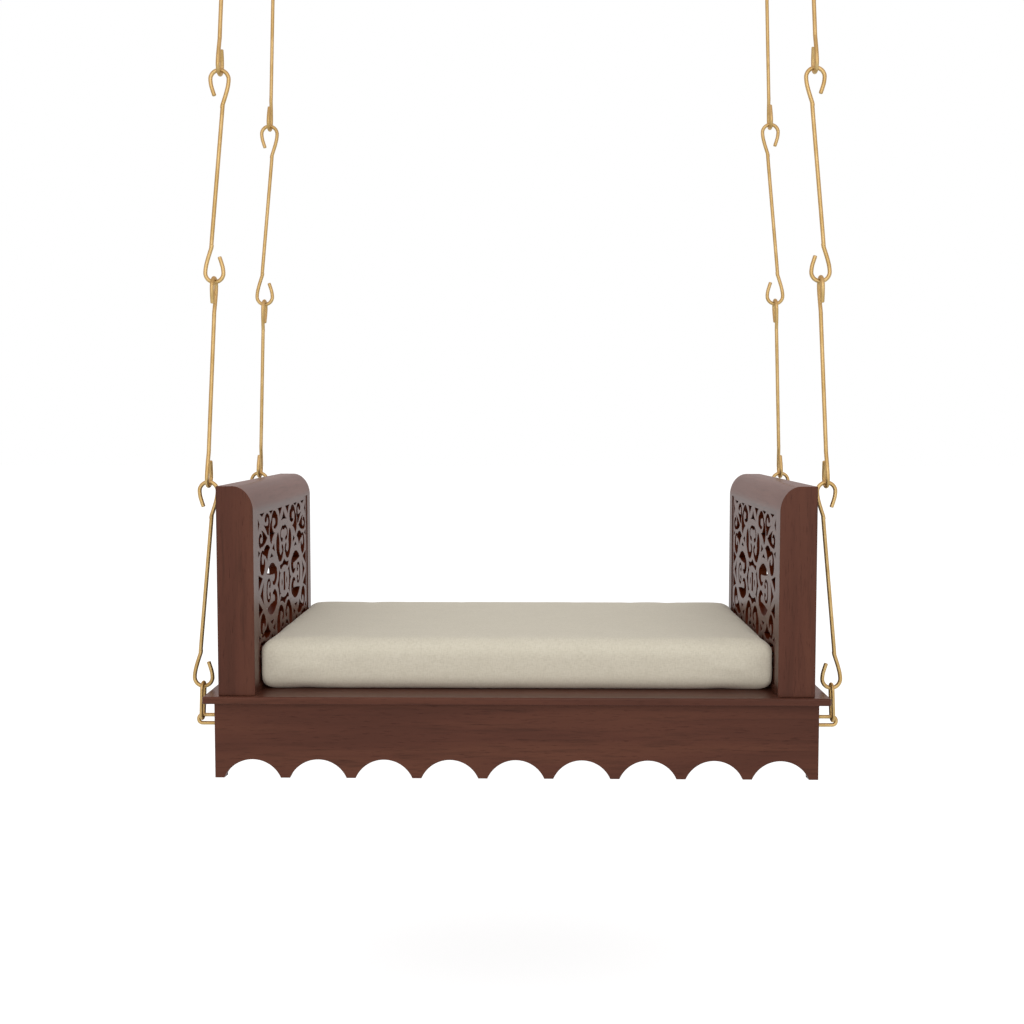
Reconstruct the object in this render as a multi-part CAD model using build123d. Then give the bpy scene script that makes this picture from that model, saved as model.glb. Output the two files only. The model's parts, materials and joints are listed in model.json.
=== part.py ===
from build123d import *
import math
import os

# Jhoola swing: a carved wooden seat with two pierced arms and a loose box cushion,
# hung from the ceiling by four chains of hooked brass rods.
#
# Frame: X runs along the seat, Y from its front (negative) to its back, Z up.
# The origin is at the middle of the seat's footprint, at the aprons' feet.
# Lengths are in millimetres and angles in degrees.

# ---- seat board ----
BOARD_LENGTH = 1067.0
BOARD_DEPTH = 610.0
BOARD_THICKNESS = 12.5
BOARD_TOP_ROUND = 4.5
BOARD_UNDER_BEVEL = 1.5

# ---- scalloped aprons ----
APRON_HEIGHT = 131.0
APRON_THICKNESS = 18.0
APRON_INSET = 17.0          # from the board's edge in to the aprons' outer faces
FRONT_ARCHES = 9
SIDE_ARCHES = 5
ARCH_FOOT = 15.7            # the flat foot left between two arches
ARCH_RISE = 32.0

# ---- hidden frame under the board ----
BLOCK_LEG = 42.0
BLOCK_DROP = 14.0           # from the arches' crowns up to the glue blocks
BATTEN_WIDTH = 45.0
BATTEN_THICKNESS = 22.0
BATTEN_SPACING = 520.0

# ---- arms ----
ARM_THICKNESS = 63.0
ARM_HEIGHT = 358.0
ARM_SIDE_INSET = 25.5       # from the board's end in to the arm's outer face
ARM_END_INSET = 12.0        # from the board's front and back edges in to the posts
POST_DEPTH = 35.0
TOP_RAIL_HEIGHT = 44.0
TOP_ROUND_WIDTH = 35.0      # the elliptical round along the inner top corner
TENON_HEIGHT = 10.0
TENON_WIDTH = 36.0
TENON_DEPTH = 20.0
BOTTOM_RAIL_HEIGHT = 12.0

# ---- jali panels ----
PANEL_THICKNESS = 15.0
PANEL_RECESS = 2.0          # from the posts' inner faces back to the panel
LATTICE_SIDE_MARGIN = 16.0  # uncut wood from each post in to the lattice's nearest holes
LATTICE_TOP_MARGIN = 8.0    # the same from the two rails
CUT_FLAT = 64.0             # most that one flat of a scroll's cut edge turns

# ---- cushion ----
CUSHION_DEPTH = 535.0
CUSHION_THICKNESS = 86.0
CUSHION_SIDE_GAP = 0.5
CUSHION_BACK_SHIFT = 22.0   # the cushion sits this far behind the middle of the seat
CUSHION_ROUND = 24.0

# ---- staples on the side aprons ----
STAPLE_WIRE = 6.5
STAPLE_PITCH = 14.6         # between the centres of the upper and the lower leg
STAPLE_CORNER = 4.0         # cut by a flat from each corner of the staple's bend
STAPLE_UPPER_Z = 94.5
STAPLE_INSET = 86.0         # from the board's front and back edges in to the chains
STAPLE_REACH = 44.0         # from the apron's outer face out to the bend's centre line
NUT_SIDE = 12.0
NUT_THICKNESS = 5.5
LEG_END = 2.0               # how far a leg stands out of its nut

# ---- chains ----
ROD_WIRE = 7.0
ROD_PITCH = 353.0           # from one hooked joint to the next
RODS_PER_CHAIN = 4
HOOK_RADIUS = 15.7          # the loop's centre line
HOOK_SHAFT_OFFSET = 5.8     # the straight shaft's ends beside the line of pull
HOOK_NECK = 46.0            # from the loop's centre to the straight shaft
HOOK_SHOULDER = 27.0        # from the loop's centre to the bend above the neck
HOOK_SHOULDER_OFFSET = 11.5
HOOK_TIP = 28.0             # from the loop's centre to the tip's end
HOOK_TIP_OFFSET = 8.0
RING_WIRE = 6.0
RING_WIDTH = 22.0           # between the centre lines of the ring's two sides
RING_HEIGHT = 64.3          # between the centre lines of its two ends
CHAIN_LEAN = 2.36           # every chain leans in towards the middle as it rises
RUNNING_GAP = 0.3

# ---- ceiling fittings ----
EYE_BAR = 10.0
EYE_WIDTH = 26.0            # between the hanger's two cheeks
EYE_DROP = 30.0             # from the plate down to the bar's centre line
EYE_CHIN = 11.0             # from the bar's centre line down to the cheeks' ends
CHEEK_THICKNESS = 5.0
CHEEK_WIDTH = 26.0
PLATE_LENGTH = 110.0
PLATE_WIDTH = 50.0
PLATE_THICKNESS = 6.0
PLATE_HOLE = 10.5
PLATE_HOLE_SPACING = 80.0

# ---- sizes that follow ----
CORNERS = [(side, end) for side in (-1, 1) for end in (-1, 1)]
BOARD_BOTTOM = APRON_HEIGHT
BOARD_TOP = BOARD_BOTTOM + BOARD_THICKNESS
APRON_LENGTH = BOARD_LENGTH - 2 * APRON_INSET
APRON_DEPTH = BOARD_DEPTH - 2 * APRON_INSET
ARM_OUTER_X = BOARD_LENGTH / 2 - ARM_SIDE_INSET
ARM_INNER_X = ARM_OUTER_X - ARM_THICKNESS
ARM_MIDDLE_X = (ARM_OUTER_X + ARM_INNER_X) / 2
ARM_END_Y = BOARD_DEPTH / 2 - ARM_END_INSET
POST_INNER_Y = ARM_END_Y - POST_DEPTH
ARM_TOP = BOARD_TOP + ARM_HEIGHT
RAIL_BOTTOM = ARM_TOP - TOP_RAIL_HEIGHT
PANEL_BOTTOM = BOARD_TOP + BOTTOM_RAIL_HEIGHT
PANEL_FACE_X = ARM_INNER_X + PANEL_RECESS
PANEL_MIDDLE_Z = (PANEL_BOTTOM + RAIL_BOTTOM) / 2
PANEL_LENGTH = 2 * POST_INNER_Y
PANEL_HEIGHT = RAIL_BOTTOM - PANEL_BOTTOM
STAPLE_Y = BOARD_DEPTH / 2 - STAPLE_INSET
STAPLE_LOWER_Z = STAPLE_UPPER_Z - STAPLE_PITCH
RING_BOTTOM_Z = STAPLE_UPPER_Z - STAPLE_WIRE / 2 - RUNNING_GAP - RING_WIRE / 2
STAPLE_BEND_X = APRON_LENGTH / 2 + STAPLE_REACH
RING_FOOT_X = STAPLE_BEND_X - STAPLE_WIRE / 2 - RUNNING_GAP - RING_WIRE / 2
FIRST_JOINT = RING_HEIGHT - RING_WIRE / 2   # from the ring's foot up to where the first hook bears


# ---- shared helpers ----
WIRE_SIDES = 8
HALF_SIDE = math.pi / WIRE_SIDES            # half the angle that one side of an octagon spans


def half_loop(radius):
    """The four upper corners of the octagon drawn round a circle of this radius, left to right."""
    crown = radius / math.cos(HALF_SIDE)
    angles = [math.pi - HALF_SIDE * turn for turn in (1, 3, 5, 7)]
    return [(crown * math.cos(angle), crown * math.sin(angle)) for angle in angles]


def bent_bar(points, section, close=False):
    """A bar of this section along straight runs in the XY plane, mitred at the bends."""
    path = Polyline(*points, close=close)
    start = Plane(origin=path @ 0, x_dir=(0, 0, 1), z_dir=path % 0)
    return sweep(start * section, path=path, transition=Transition.RIGHT)


def eight_sided(width):
    """An octagon with this width across its flats; it stands in for round wire."""
    return RegularPolygon(width / 2, WIRE_SIDES, major_radius=False, rotation=math.degrees(HALF_SIDE))


def staple_section():
    """An octagon across whose corners the staple's wire is measured.

    The ring bears on one of those corners, so it clears the staple at every swing angle.
    """
    return RegularPolygon(STAPLE_WIRE / 2, WIRE_SIDES)


def write(name, shape):
    """Write one piece of the swing to its own file."""
    shape.label = name
    export_step(shape, f"parts/{name}.step")


# ---- seat ----
def seat_board():
    """The seat board, with its edges rounded and a mortise under each arm post."""
    board = Pos(0, 0, BOARD_BOTTOM + BOARD_THICKNESS / 2) * Box(BOARD_LENGTH, BOARD_DEPTH, BOARD_THICKNESS)
    board = fillet(board.faces().sort_by(Axis.Z)[-1].edges(), BOARD_TOP_ROUND)
    board = chamfer(board.faces().sort_by(Axis.Z)[0].edges(), BOARD_UNDER_BEVEL)
    for side, end in CORNERS:
        board -= post_tenon(side, end)
    return board


def apron(length, depth, arches):
    """One mitred apron along X, in front of a frame of this depth, with its arches cut."""
    outer = length / 2
    inner = outer - APRON_THICKNESS
    front = -depth / 2
    back = front + APRON_THICKNESS
    plan = Polyline((-outer, front), (outer, front), (inner, back), (-inner, back), close=True)
    board = extrude(make_face(plan), amount=APRON_HEIGHT, dir=(0, 0, 1))
    pitch = (length - ARCH_FOOT) / arches
    chord = pitch - ARCH_FOOT
    radius = (chord**2 / 4 + ARCH_RISE**2) / (2 * ARCH_RISE)
    cutter = Rot(90, 0, 0) * Cylinder(radius, 3 * APRON_THICKNESS)
    for arch in range(arches):
        middle = -outer + (ARCH_FOOT + pitch) / 2 + pitch * arch
        board -= Pos(middle, front + APRON_THICKNESS / 2, ARCH_RISE - radius) * cutter
    return board


def leg_bore(depth):
    """A bore along X for a staple's leg, centred on the origin."""
    return extrude(Plane.YZ * staple_section(), amount=depth / 2, both=True)


def side_apron(side):
    """The left (-1) or right (1) apron, bored for the staples."""
    board = Rot(0, 0, side * 90) * apron(APRON_DEPTH, APRON_LENGTH, SIDE_ARCHES)
    for end in (-1, 1):
        for z in (STAPLE_UPPER_Z, STAPLE_LOWER_Z):
            board -= Pos(side * APRON_LENGTH / 2, end * STAPLE_Y, z) * leg_bore(4 * APRON_THICKNESS)
    return board


def corner_blocks():
    """Triangular glue blocks behind the mitred corners, up against the board."""
    bottom = ARCH_RISE + BLOCK_DROP
    corner_x = APRON_LENGTH / 2 - APRON_THICKNESS
    corner_y = APRON_DEPTH / 2 - APRON_THICKNESS
    blocks = []
    for side, end in CORNERS:
        plan = Polyline(
            (side * corner_x, end * corner_y),
            (side * (corner_x - BLOCK_LEG), end * corner_y),
            (side * corner_x, end * (corner_y - BLOCK_LEG)),
            close=True,
        )
        block = extrude(make_face(plan), amount=BOARD_BOTTOM - bottom, dir=(0, 0, 1))
        blocks.append(Pos(0, 0, bottom) * block)
    return Compound(children=blocks)


def cross_battens():
    """Two battens under the board, from the front apron to the back one."""
    length = APRON_DEPTH - 2 * APRON_THICKNESS
    batten = Box(BATTEN_WIDTH, length, BATTEN_THICKNESS)
    z = BOARD_BOTTOM - BATTEN_THICKNESS / 2
    return Compound(children=[Pos(side * BATTEN_SPACING / 2, 0, z) * batten for side in (-1, 1)])


# ---- arms ----
def arm_outline(side, bottom):
    """The arm's section, seen along Y: square outside, an elliptical round inside on top."""
    height = ARM_TOP - bottom
    body = Pos(side * ARM_MIDDLE_X, bottom + height / 2) * Rectangle(ARM_THICKNESS, height)
    corner_x = side * (ARM_INNER_X + TOP_ROUND_WIDTH / 2)
    corner = Pos(corner_x, ARM_TOP - TOP_RAIL_HEIGHT / 2) * Rectangle(TOP_ROUND_WIDTH, TOP_RAIL_HEIGHT)
    oval = Pos(side * (ARM_INNER_X + TOP_ROUND_WIDTH), RAIL_BOTTOM) * Ellipse(TOP_ROUND_WIDTH, TOP_RAIL_HEIGHT)
    return Plane.XZ * (body - corner + (oval & corner))


def along_y(face, front, back):
    """The face, drawn on the XZ plane, carried from front to back."""
    return Pos(0, front, 0) * extrude(face, amount=back - front, dir=(0, 1, 0))


def post_tenon(side, end):
    """The short tenon that seats a post in the board."""
    y = end * (ARM_END_Y - POST_DEPTH / 2)
    z = BOARD_TOP - TENON_HEIGHT / 2
    return Pos(side * ARM_MIDDLE_X, y, z) * Box(TENON_WIDTH, TENON_DEPTH, TENON_HEIGHT)


def arm_post(side, end):
    """A post, the arm's whole outline at its front (-1) or back (1), with its tenon."""
    front, back = sorted((end * ARM_END_Y, end * POST_INNER_Y))
    return along_y(arm_outline(side, BOARD_TOP), front, back) + post_tenon(side, end)


def top_rail(side):
    """The rounded rail between the posts, above the panel."""
    return along_y(arm_outline(side, RAIL_BOTTOM), -POST_INNER_Y, POST_INNER_Y)


def bottom_rail(side):
    """The flat rail on the board that the panel stands on."""
    z = BOARD_TOP + BOTTOM_RAIL_HEIGHT / 2
    return Pos(side * ARM_MIDDLE_X, 0, z) * Box(ARM_THICKNESS, PANEL_LENGTH, BOTTOM_RAIL_HEIGHT)


# ---- jali panels ----
# Each motif is one closed hole of the lattice, in millimetres out (X) and up (Y) from the
# panel's centre. Corners alternate with the point that the arc to the next corner passes
# through, or None where that edge is straight.
QUARTER_MOTIFS = {
    "corner leaf above": [(227, 143), None, (186, 143), None, (205, 137), None],
    "corner leaf beside": [(242, 136), None, (242, 115), None, (229, 125), None],
    "upper corner scroll": [
        (184, 130), (166, 140), (141, 133), (137, 123), (145, 112), None, (146, 100), None, (160, 102),
        (175, 113), (194, 122), (169, 118), (154, 118), (150, 126), (162, 132), (168, 126),
    ],
    "side corner scroll": [
        (208, 101), (225, 108), (237, 99), (234, 88), (218, 84), (189, 86), (161, 96), (187, 107),
        (214, 114), (204, 106), (202, 95), (214, 90), (226, 96), (221, 100),
    ],
    "side bead": [(242, 80), None, (226, 75), None, (242, 69), None],
    "upper edge leaf": [(142, 143), None, (105, 143), None, (124, 137), None],
    "crown scroll": [
        (124, 82), (139, 97), (124, 124), (103, 140), (71, 133), (60, 120), (73, 110), (89, 107),
        (104, 112), None, (94, 114), (85, 120), (96, 126), (115, 120), (109, 106), (99, 101), (88, 100),
        (108, 94),
    ],
    "crown leaf": [(64, 143), None, (17, 143), (29, 136), (42, 127), (49, 137)],
    "side scroll": [
        (137, 76), (165, 84), (195, 75), (225, 66), (227, 45), (207, 34), (186, 45), (183, 55),
        (192, 61), (198, 53), (211, 56), (212, 66), (196, 68), (179, 65), (164, 55), (155, 67),
    ],
    "heart leaf": [(138, 58), None, (123, 65), None, (107, 58), None],
    "heart bead": [(116, 73), None, (98, 80), None, (93, 66), None],
    "lyre scroll": [
        (58, 98), (78, 75), (66, 55), (38, 41), (11, 54), (7, 63), (15, 70), (23, 71), (25, 66),
        (19, 62), (25, 57), (42, 56), (46, 74), (50, 88),
    ],
    "middle scroll": [
        (169, 31), (127, 47), (85, 37), (72, 24), (80, 11), (97, 4), (114, 8), (117, 11), (113, 13),
        (102, 13), (96, 19), (98, 24), (106, 25), (137, 27),
    ],
    "edge leaf": [(242, 37), None, (206, 28), None, (242, 10), None],
}
UPPER_MOTIFS = {
    "keystone": [(33, 118), (17, 122), (0, 135), (-17, 122), (-33, 118), (0, 120)],
    "medallion arch": [
        (0, 106), (-27, 103), (-38, 94), (-36, 85), (-24, 78), (-15, 78), (-12, 82), (-19, 85), (-27, 85),
        (-32, 91), (-29, 97), (-14, 101), (0, 98), (14, 101), (29, 97), (32, 91), (27, 85), (19, 85),
        (12, 82), (15, 78), (24, 78), (36, 85), (38, 94), (27, 103),
    ],
    "crown star": [
        (45, 35), (20, 36), (0, 43), (-20, 36), (-45, 35), (-41, 29), (-30, 26), (0, 31), (30, 26),
        (41, 29),
    ],
}
SIDE_MOTIFS = {
    "side dart": [
        (53, 29), (46, 22), (37, 20), (47, 12), (49, 0), (47, -12), (37, -20), (46, -22), (53, -29),
        (57, -12), (70, 0), (57, 12),
    ],
    "key scroll": [
        (173, 0), (169, 14), (155, 21), (139, 17), (135, 9), (140, 4), (148, 6), (150, 8), (148, 10),
        (143, 13), (148, 16), (161, 12), (165, 0), (161, -12), (148, -16), (143, -13), (148, -10), (150, -8),
        (148, -6), (140, -4), (135, -9), (139, -17), (155, -21), (169, -14),
    ],
    "side arrow": [(227, 0), None, (195, 21), (203, 0), (195, -21), None],
    "oval bead": [(25, 7), (20, 0), (25, -7), (28, 0)],
}
CENTRE_SLOT = [(9, 17), (0, 18), (-9, 17), (-7, 0), (-9, -17), (0, -18), (9, -17), (7, 0)]


DRAWN_POINTS = [point for motif in QUARTER_MOTIFS.values() for point in motif if point is not None]
DRAWN_HALF_LENGTH = max(x for x, y in DRAWN_POINTS)
DRAWN_HALF_HEIGHT = max(y for x, y in DRAWN_POINTS)


def flats(outline):
    """The corners round a hole as it is drawn, each of its arcs cut in a few equal flats."""
    corners = outline[0::2]
    points = []
    for corner, through, after in zip(corners, outline[1::2], corners[1:] + corners[:1]):
        points.append(corner)
        if through is not None:
            arc = ThreePointArc(corner, through, after)
            count = math.ceil(math.degrees(arc.length / arc.radius) / CUT_FLAT)
            cuts = [arc @ (step / count) for step in range(1, count)]
            points += [(cut.X, cut.Y) for cut in cuts]
    return points


def hole(outline, across, up):
    """The wire round a hole, fitted to the panel's uncut margins and mirrored by these signs."""
    across *= (PANEL_LENGTH / 2 - LATTICE_SIDE_MARGIN) / DRAWN_HALF_LENGTH
    up *= (PANEL_HEIGHT / 2 - LATTICE_TOP_MARGIN) / DRAWN_HALF_HEIGHT
    return Polyline(*[(across * x, up * y) for x, y in flats(outline)], close=True).wire()


def lattice_holes():
    """Every hole of the lattice: each motif repeated about the panel's two axes."""
    holes = [hole(CENTRE_SLOT, 1, 1)]
    for motif in QUARTER_MOTIFS.values():
        holes += [hole(motif, across, up) for across, up in CORNERS]
    for motif in UPPER_MOTIFS.values():
        holes += [hole(motif, 1, up) for up in (-1, 1)]
    for motif in SIDE_MOTIFS.values():
        holes += [hole(motif, across, 1) for across in (-1, 1)]
    return holes


def jali_panel(side):
    """The pierced panel between an arm's posts, set just behind their inner faces."""
    frame = Rectangle(PANEL_LENGTH, PANEL_HEIGHT).wire()
    sheet = Face(frame, lattice_holes())
    start = Plane(origin=(side * PANEL_FACE_X, 0, PANEL_MIDDLE_Z), x_dir=(0, 1, 0), z_dir=(1, 0, 0))
    return extrude(start * sheet, amount=PANEL_THICKNESS, dir=(side, 0, 0))


# ---- cushion ----
def seat_cushion():
    """The loose box cushion that fills the seat between the arms."""
    width = 2 * (ARM_INNER_X - CUSHION_SIDE_GAP)
    section = RectangleRounded(CUSHION_DEPTH, CUSHION_THICKNESS, CUSHION_ROUND)
    block = extrude(Plane.YZ * section, amount=width / 2, both=True)
    return Pos(0, CUSHION_BACK_SHIFT, BOARD_TOP + CUSHION_THICKNESS / 2) * block


# ---- staples ----
def staple(side, end):
    """A narrow U lying on its side: two legs through the side apron, joined outside it."""
    foot = APRON_LENGTH / 2 - APRON_THICKNESS - NUT_THICKNESS - LEG_END
    half = STAPLE_PITCH / 2
    points = [
        (foot, half),
        (STAPLE_BEND_X - STAPLE_CORNER, half),
        (STAPLE_BEND_X, half - STAPLE_CORNER),
        (STAPLE_BEND_X, STAPLE_CORNER - half),
        (STAPLE_BEND_X - STAPLE_CORNER, -half),
        (foot, -half),
    ]
    wire = Rot(90, 0, 0) * bent_bar(points, staple_section())
    if side < 0:
        wire = mirror(wire, Plane.YZ)
    return Pos(0, end * STAPLE_Y, (STAPLE_UPPER_Z + STAPLE_LOWER_Z) / 2) * wire


def staple_nuts():
    """The square nuts inside the side aprons, one on each staple leg."""
    nut = Box(NUT_THICKNESS, NUT_SIDE, NUT_SIDE) - leg_bore(2 * NUT_THICKNESS)
    x = APRON_LENGTH / 2 - APRON_THICKNESS - NUT_THICKNESS / 2
    return Compound(
        children=[
            Pos(side * x, end * STAPLE_Y, z) * nut
            for side, end in CORNERS
            for z in (STAPLE_UPPER_Z, STAPLE_LOWER_Z)
        ]
    )


# ---- chains ----
def chain_place(side, end, height, in_plane_of_seat):
    """Where a link of this chain stands: its foot, and which way its own X axis faces.

    height is measured along the chain from the ring's lower end. A link's own X axis
    points towards the middle of the swing: along the seat's length or along its depth.
    """
    lean = math.radians(CHAIN_LEAN)
    up = Vector(-side * math.sin(lean), 0, math.cos(lean))
    along = Vector(-side * math.cos(lean), 0, -math.sin(lean))
    foot = Vector(side * RING_FOOT_X, end * STAPLE_Y, RING_BOTTOM_Z) + up * height
    x_dir = along if in_plane_of_seat else Vector(0, -end, 0)
    return Plane(origin=foot, x_dir=x_dir, z_dir=x_dir.cross(up))


def half_hook():
    """The upper half of a rod's centre line, from its tip over the loop to the shaft."""
    loop_z = (ROD_PITCH + ROD_WIRE) / 2 - HOOK_RADIUS
    points = [
        (-HOOK_TIP_OFFSET, -HOOK_TIP),
        *half_loop(HOOK_RADIUS),
        (HOOK_SHOULDER_OFFSET, -HOOK_SHOULDER),
        (HOOK_SHAFT_OFFSET, -HOOK_NECK),
    ]
    return [(x, loop_z + y) for x, y in points]


def hooked_rod(side, end, number):
    """Rod 1 (the lowest) to 4: a straight shaft with an open hook at each end."""
    upper = half_hook()
    lower = [(-x, -y) for x, y in reversed(upper)]
    rod = bent_bar(upper + lower, eight_sided(ROD_WIRE))
    middle = FIRST_JOINT + ROD_PITCH * (number - 0.5)
    return chain_place(side, end, middle, number % 2 == 1) * rod


def ring(side, end):
    """The tall oval ring between a staple and its chain's lowest rod."""
    straight = (RING_HEIGHT - RING_WIDTH) / 2
    upper = [(x, y + straight) for x, y in half_loop(RING_WIDTH / 2)]
    lower = [(-x, -y) for x, y in upper]
    wire = bent_bar(upper + lower, eight_sided(RING_WIRE), close=True)
    return chain_place(side, end, RING_HEIGHT / 2, False) * wire


# ---- ceiling fittings ----
def bar_place(side, end):
    """The middle of the eye's bar, which the chain's top hook hangs on."""
    height = FIRST_JOINT + ROD_PITCH * RODS_PER_CHAIN - EYE_BAR / 2 - RUNNING_GAP
    return chain_place(side, end, height, False).origin


def ceiling_eye(side, end):
    """The hanger under a ceiling plate: two cheeks with a round bar for the hook."""
    place = bar_place(side, end)
    length = EYE_DROP + EYE_CHIN
    cheek = Box(CHEEK_THICKNESS, CHEEK_WIDTH, length)
    hanger = Rot(0, 90, 0) * Cylinder(EYE_BAR / 2, EYE_WIDTH)
    for across in (-1, 1):
        x = across * (EYE_WIDTH + CHEEK_THICKNESS) / 2
        hanger += Pos(x, 0, EYE_DROP - length / 2) * cheek
    return Pos(place.X, place.Y, place.Z) * hanger


def ceiling_plate(side, end):
    """The plate that bolts up to the ceiling, with a hole for a bolt at each end."""
    bar = bar_place(side, end)
    plate = Box(PLATE_LENGTH, PLATE_WIDTH, PLATE_THICKNESS)
    for across in (-1, 1):
        plate -= Pos(across * PLATE_HOLE_SPACING / 2, 0, 0) * Cylinder(PLATE_HOLE / 2, PLATE_THICKNESS)
    return Pos(bar.X, bar.Y, bar.Z + EYE_DROP + PLATE_THICKNESS / 2) * plate


if __name__ == "__main__":
    os.makedirs("parts", exist_ok=True)
    write("seat_board", seat_board())
    write("front_apron", apron(APRON_LENGTH, APRON_DEPTH, FRONT_ARCHES))
    write("back_apron", Rot(0, 0, 180) * apron(APRON_LENGTH, APRON_DEPTH, FRONT_ARCHES))
    write("left_apron", side_apron(-1))
    write("right_apron", side_apron(1))
    write("corner_blocks", corner_blocks())
    write("cross_battens", cross_battens())
    for side, hand in ((-1, "left"), (1, "right")):
        write(f"{hand}_arm_front_post", arm_post(side, -1))
        write(f"{hand}_arm_back_post", arm_post(side, 1))
        write(f"{hand}_arm_top_rail", top_rail(side))
        write(f"{hand}_arm_bottom_rail", bottom_rail(side))
        write(f"{hand}_jali_panel", jali_panel(side))
    write("seat_cushion", seat_cushion())
    write("staples", Compound(children=[staple(side, end) for side, end in CORNERS]))
    write("staple_nuts", staple_nuts())
    for side, hand in ((-1, "left"), (1, "right")):
        for end, place in ((-1, "front"), (1, "back")):
            write(f"{place}_{hand}_ring", ring(side, end))
            for number in range(1, RODS_PER_CHAIN + 1):
                write(f"{place}_{hand}_rod_{number}", hooked_rod(side, end, number))
    write("ceiling_eyes", Compound(children=[ceiling_eye(side, end) for side, end in CORNERS]))
    write("ceiling_plates", Compound(children=[ceiling_plate(side, end) for side, end in CORNERS]))
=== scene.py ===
"""Looks of a jhoola swing: lacquered wood with pierced arms, a linen cushion and brass link rods.

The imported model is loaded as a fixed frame. The nodes that show are replaced by finer pieces of the
same size in the same place, and each piece rides on the body that its node belongs to. The battens,
the glue blocks and the nuts stay and get a finish. Lengths are in millimetres until a mesh is
written, which is in metres.
"""

from __future__ import annotations

import json
import logging
import math
from dataclasses import dataclass, field
from enum import Enum
from typing import Sequence

import bmesh
import bpy
import numpy as np
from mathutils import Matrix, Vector
from mathutils.geometry import delaunay_2d_cdt

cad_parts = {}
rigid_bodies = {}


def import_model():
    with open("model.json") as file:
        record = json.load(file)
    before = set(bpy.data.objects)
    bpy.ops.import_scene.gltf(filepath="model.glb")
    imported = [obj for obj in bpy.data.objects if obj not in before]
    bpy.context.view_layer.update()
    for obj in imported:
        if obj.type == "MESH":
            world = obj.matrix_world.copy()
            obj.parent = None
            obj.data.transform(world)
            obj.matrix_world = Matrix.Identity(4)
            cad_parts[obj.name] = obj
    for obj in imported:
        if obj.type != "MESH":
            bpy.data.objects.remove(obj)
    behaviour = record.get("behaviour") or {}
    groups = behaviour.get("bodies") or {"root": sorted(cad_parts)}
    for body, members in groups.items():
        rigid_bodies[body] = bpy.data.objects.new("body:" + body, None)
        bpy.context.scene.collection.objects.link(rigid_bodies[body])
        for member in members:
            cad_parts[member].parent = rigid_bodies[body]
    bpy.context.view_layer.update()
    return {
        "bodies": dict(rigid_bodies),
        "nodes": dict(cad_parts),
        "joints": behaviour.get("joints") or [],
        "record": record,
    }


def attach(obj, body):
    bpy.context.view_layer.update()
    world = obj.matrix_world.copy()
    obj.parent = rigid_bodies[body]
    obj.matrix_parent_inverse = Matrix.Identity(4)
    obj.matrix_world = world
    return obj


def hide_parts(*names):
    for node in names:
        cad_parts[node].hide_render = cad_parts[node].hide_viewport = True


LOG = logging.getLogger("jhoola")
MM = 0.001
TINY = 1e-9
WHITE = (1.0, 1.0, 1.0, 1.0)
# The easing of an end that meets another board, and the most of a side that one corner rounds.
SEAM = 0.02
MOST_OF_SIDE = 0.45
# The triangulation that keeps only what lies inside the outlines, and its merging distance.
INSIDE_TRIANGLES = 1
SAME_POINT = 1e-6
# A Mix node's sockets by number: the share, then what lies under and over as colours and as
# numbers, and where the mixed colour and the mixed number come out.
SHARE = 0
UNDER, OVER, MIXED = 6, 7, 2
UNDER_VALUE, OVER_VALUE, MIXED_VALUE = 2, 3, 0

Outline = np.ndarray
Mesh = tuple[np.ndarray, list[tuple[int, ...]]]
Socket = bpy.types.NodeSocket


class Grain(Enum):
    """The way the wood's fibres run in a piece."""

    ALONG_SEAT = "x"
    FRONT_TO_BACK = "y"
    UPRIGHT = "z"


class Plane2D(Enum):
    """The two row axes that a flat outline is drawn on, then the axis it is carried along."""

    PLAN = (0, 1, 2)
    FRONT_VIEW = (0, 2, 1)
    SIDE_VIEW = (1, 2, 0)


# ---- shapes worked out as arrays ----
def rounded_outline(corners: Sequence[Sequence[float]], radius: float, steps: int = 4) -> Outline:
    """Round each corner of a polygon.

    At each corner the two points at distance d along its sides are joined by the quadratic
    curve (1-t)^2 a + 2t(1-t) c + t^2 b, where c is the corner itself.

    Args:
        corners: The polygon's corners in order.
        radius: How far along each side a corner's curve starts.
        steps: How many straight runs stand for each curve.

    Returns:
        The rounded outline, one point a row.
    """
    points = np.asarray(corners, float)
    ends = []
    for shift in (1, -1):
        side = np.roll(points, shift, axis=0) - points
        length = np.linalg.norm(side, axis=1)[:, None]
        ends.append(points + side / length * np.minimum(radius, MOST_OF_SIDE * length))
    start, stop = ends
    t = np.linspace(0.0, 1.0, steps + 1)[None, :, None]
    curve = (1 - t) ** 2 * start[:, None] + 2 * t * (1 - t) * points[:, None] + t**2 * stop[:, None]
    return curve.reshape(-1, 2)


def signed_area(outline: Outline) -> float:
    """Half the sum of the cross products of neighbouring points."""
    ahead = np.roll(outline, -1, axis=0)
    return float(np.sum(outline[:, 0] * ahead[:, 1] - outline[:, 1] * ahead[:, 0]) / 2)


def grown(outline: Outline, distance: float) -> Outline:
    """Push a closed outline outwards by a distance.

    Each point moves along the sum of its two edge normals, scaled so that both edges move by
    the distance, and by at most twice the distance at a sharp corner.

    Args:
        outline: The closed outline, in either direction.
        distance: How far to move each edge outwards; less than zero moves it inwards.

    Returns:
        The moved outline, with the same number of points.
    """
    edge = np.roll(outline, -1, axis=0) - outline
    edge /= np.maximum(np.linalg.norm(edge, axis=1), TINY)[:, None]
    normal = np.stack([edge[:, 1], -edge[:, 0]], axis=1) * np.sign(signed_area(outline))
    both = normal + np.roll(normal, 1, axis=0)
    length = np.maximum(np.linalg.norm(both, axis=1), TINY)
    return outline + both / length[:, None] * np.minimum(2.0 / length, 2.0)[:, None] * distance


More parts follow.
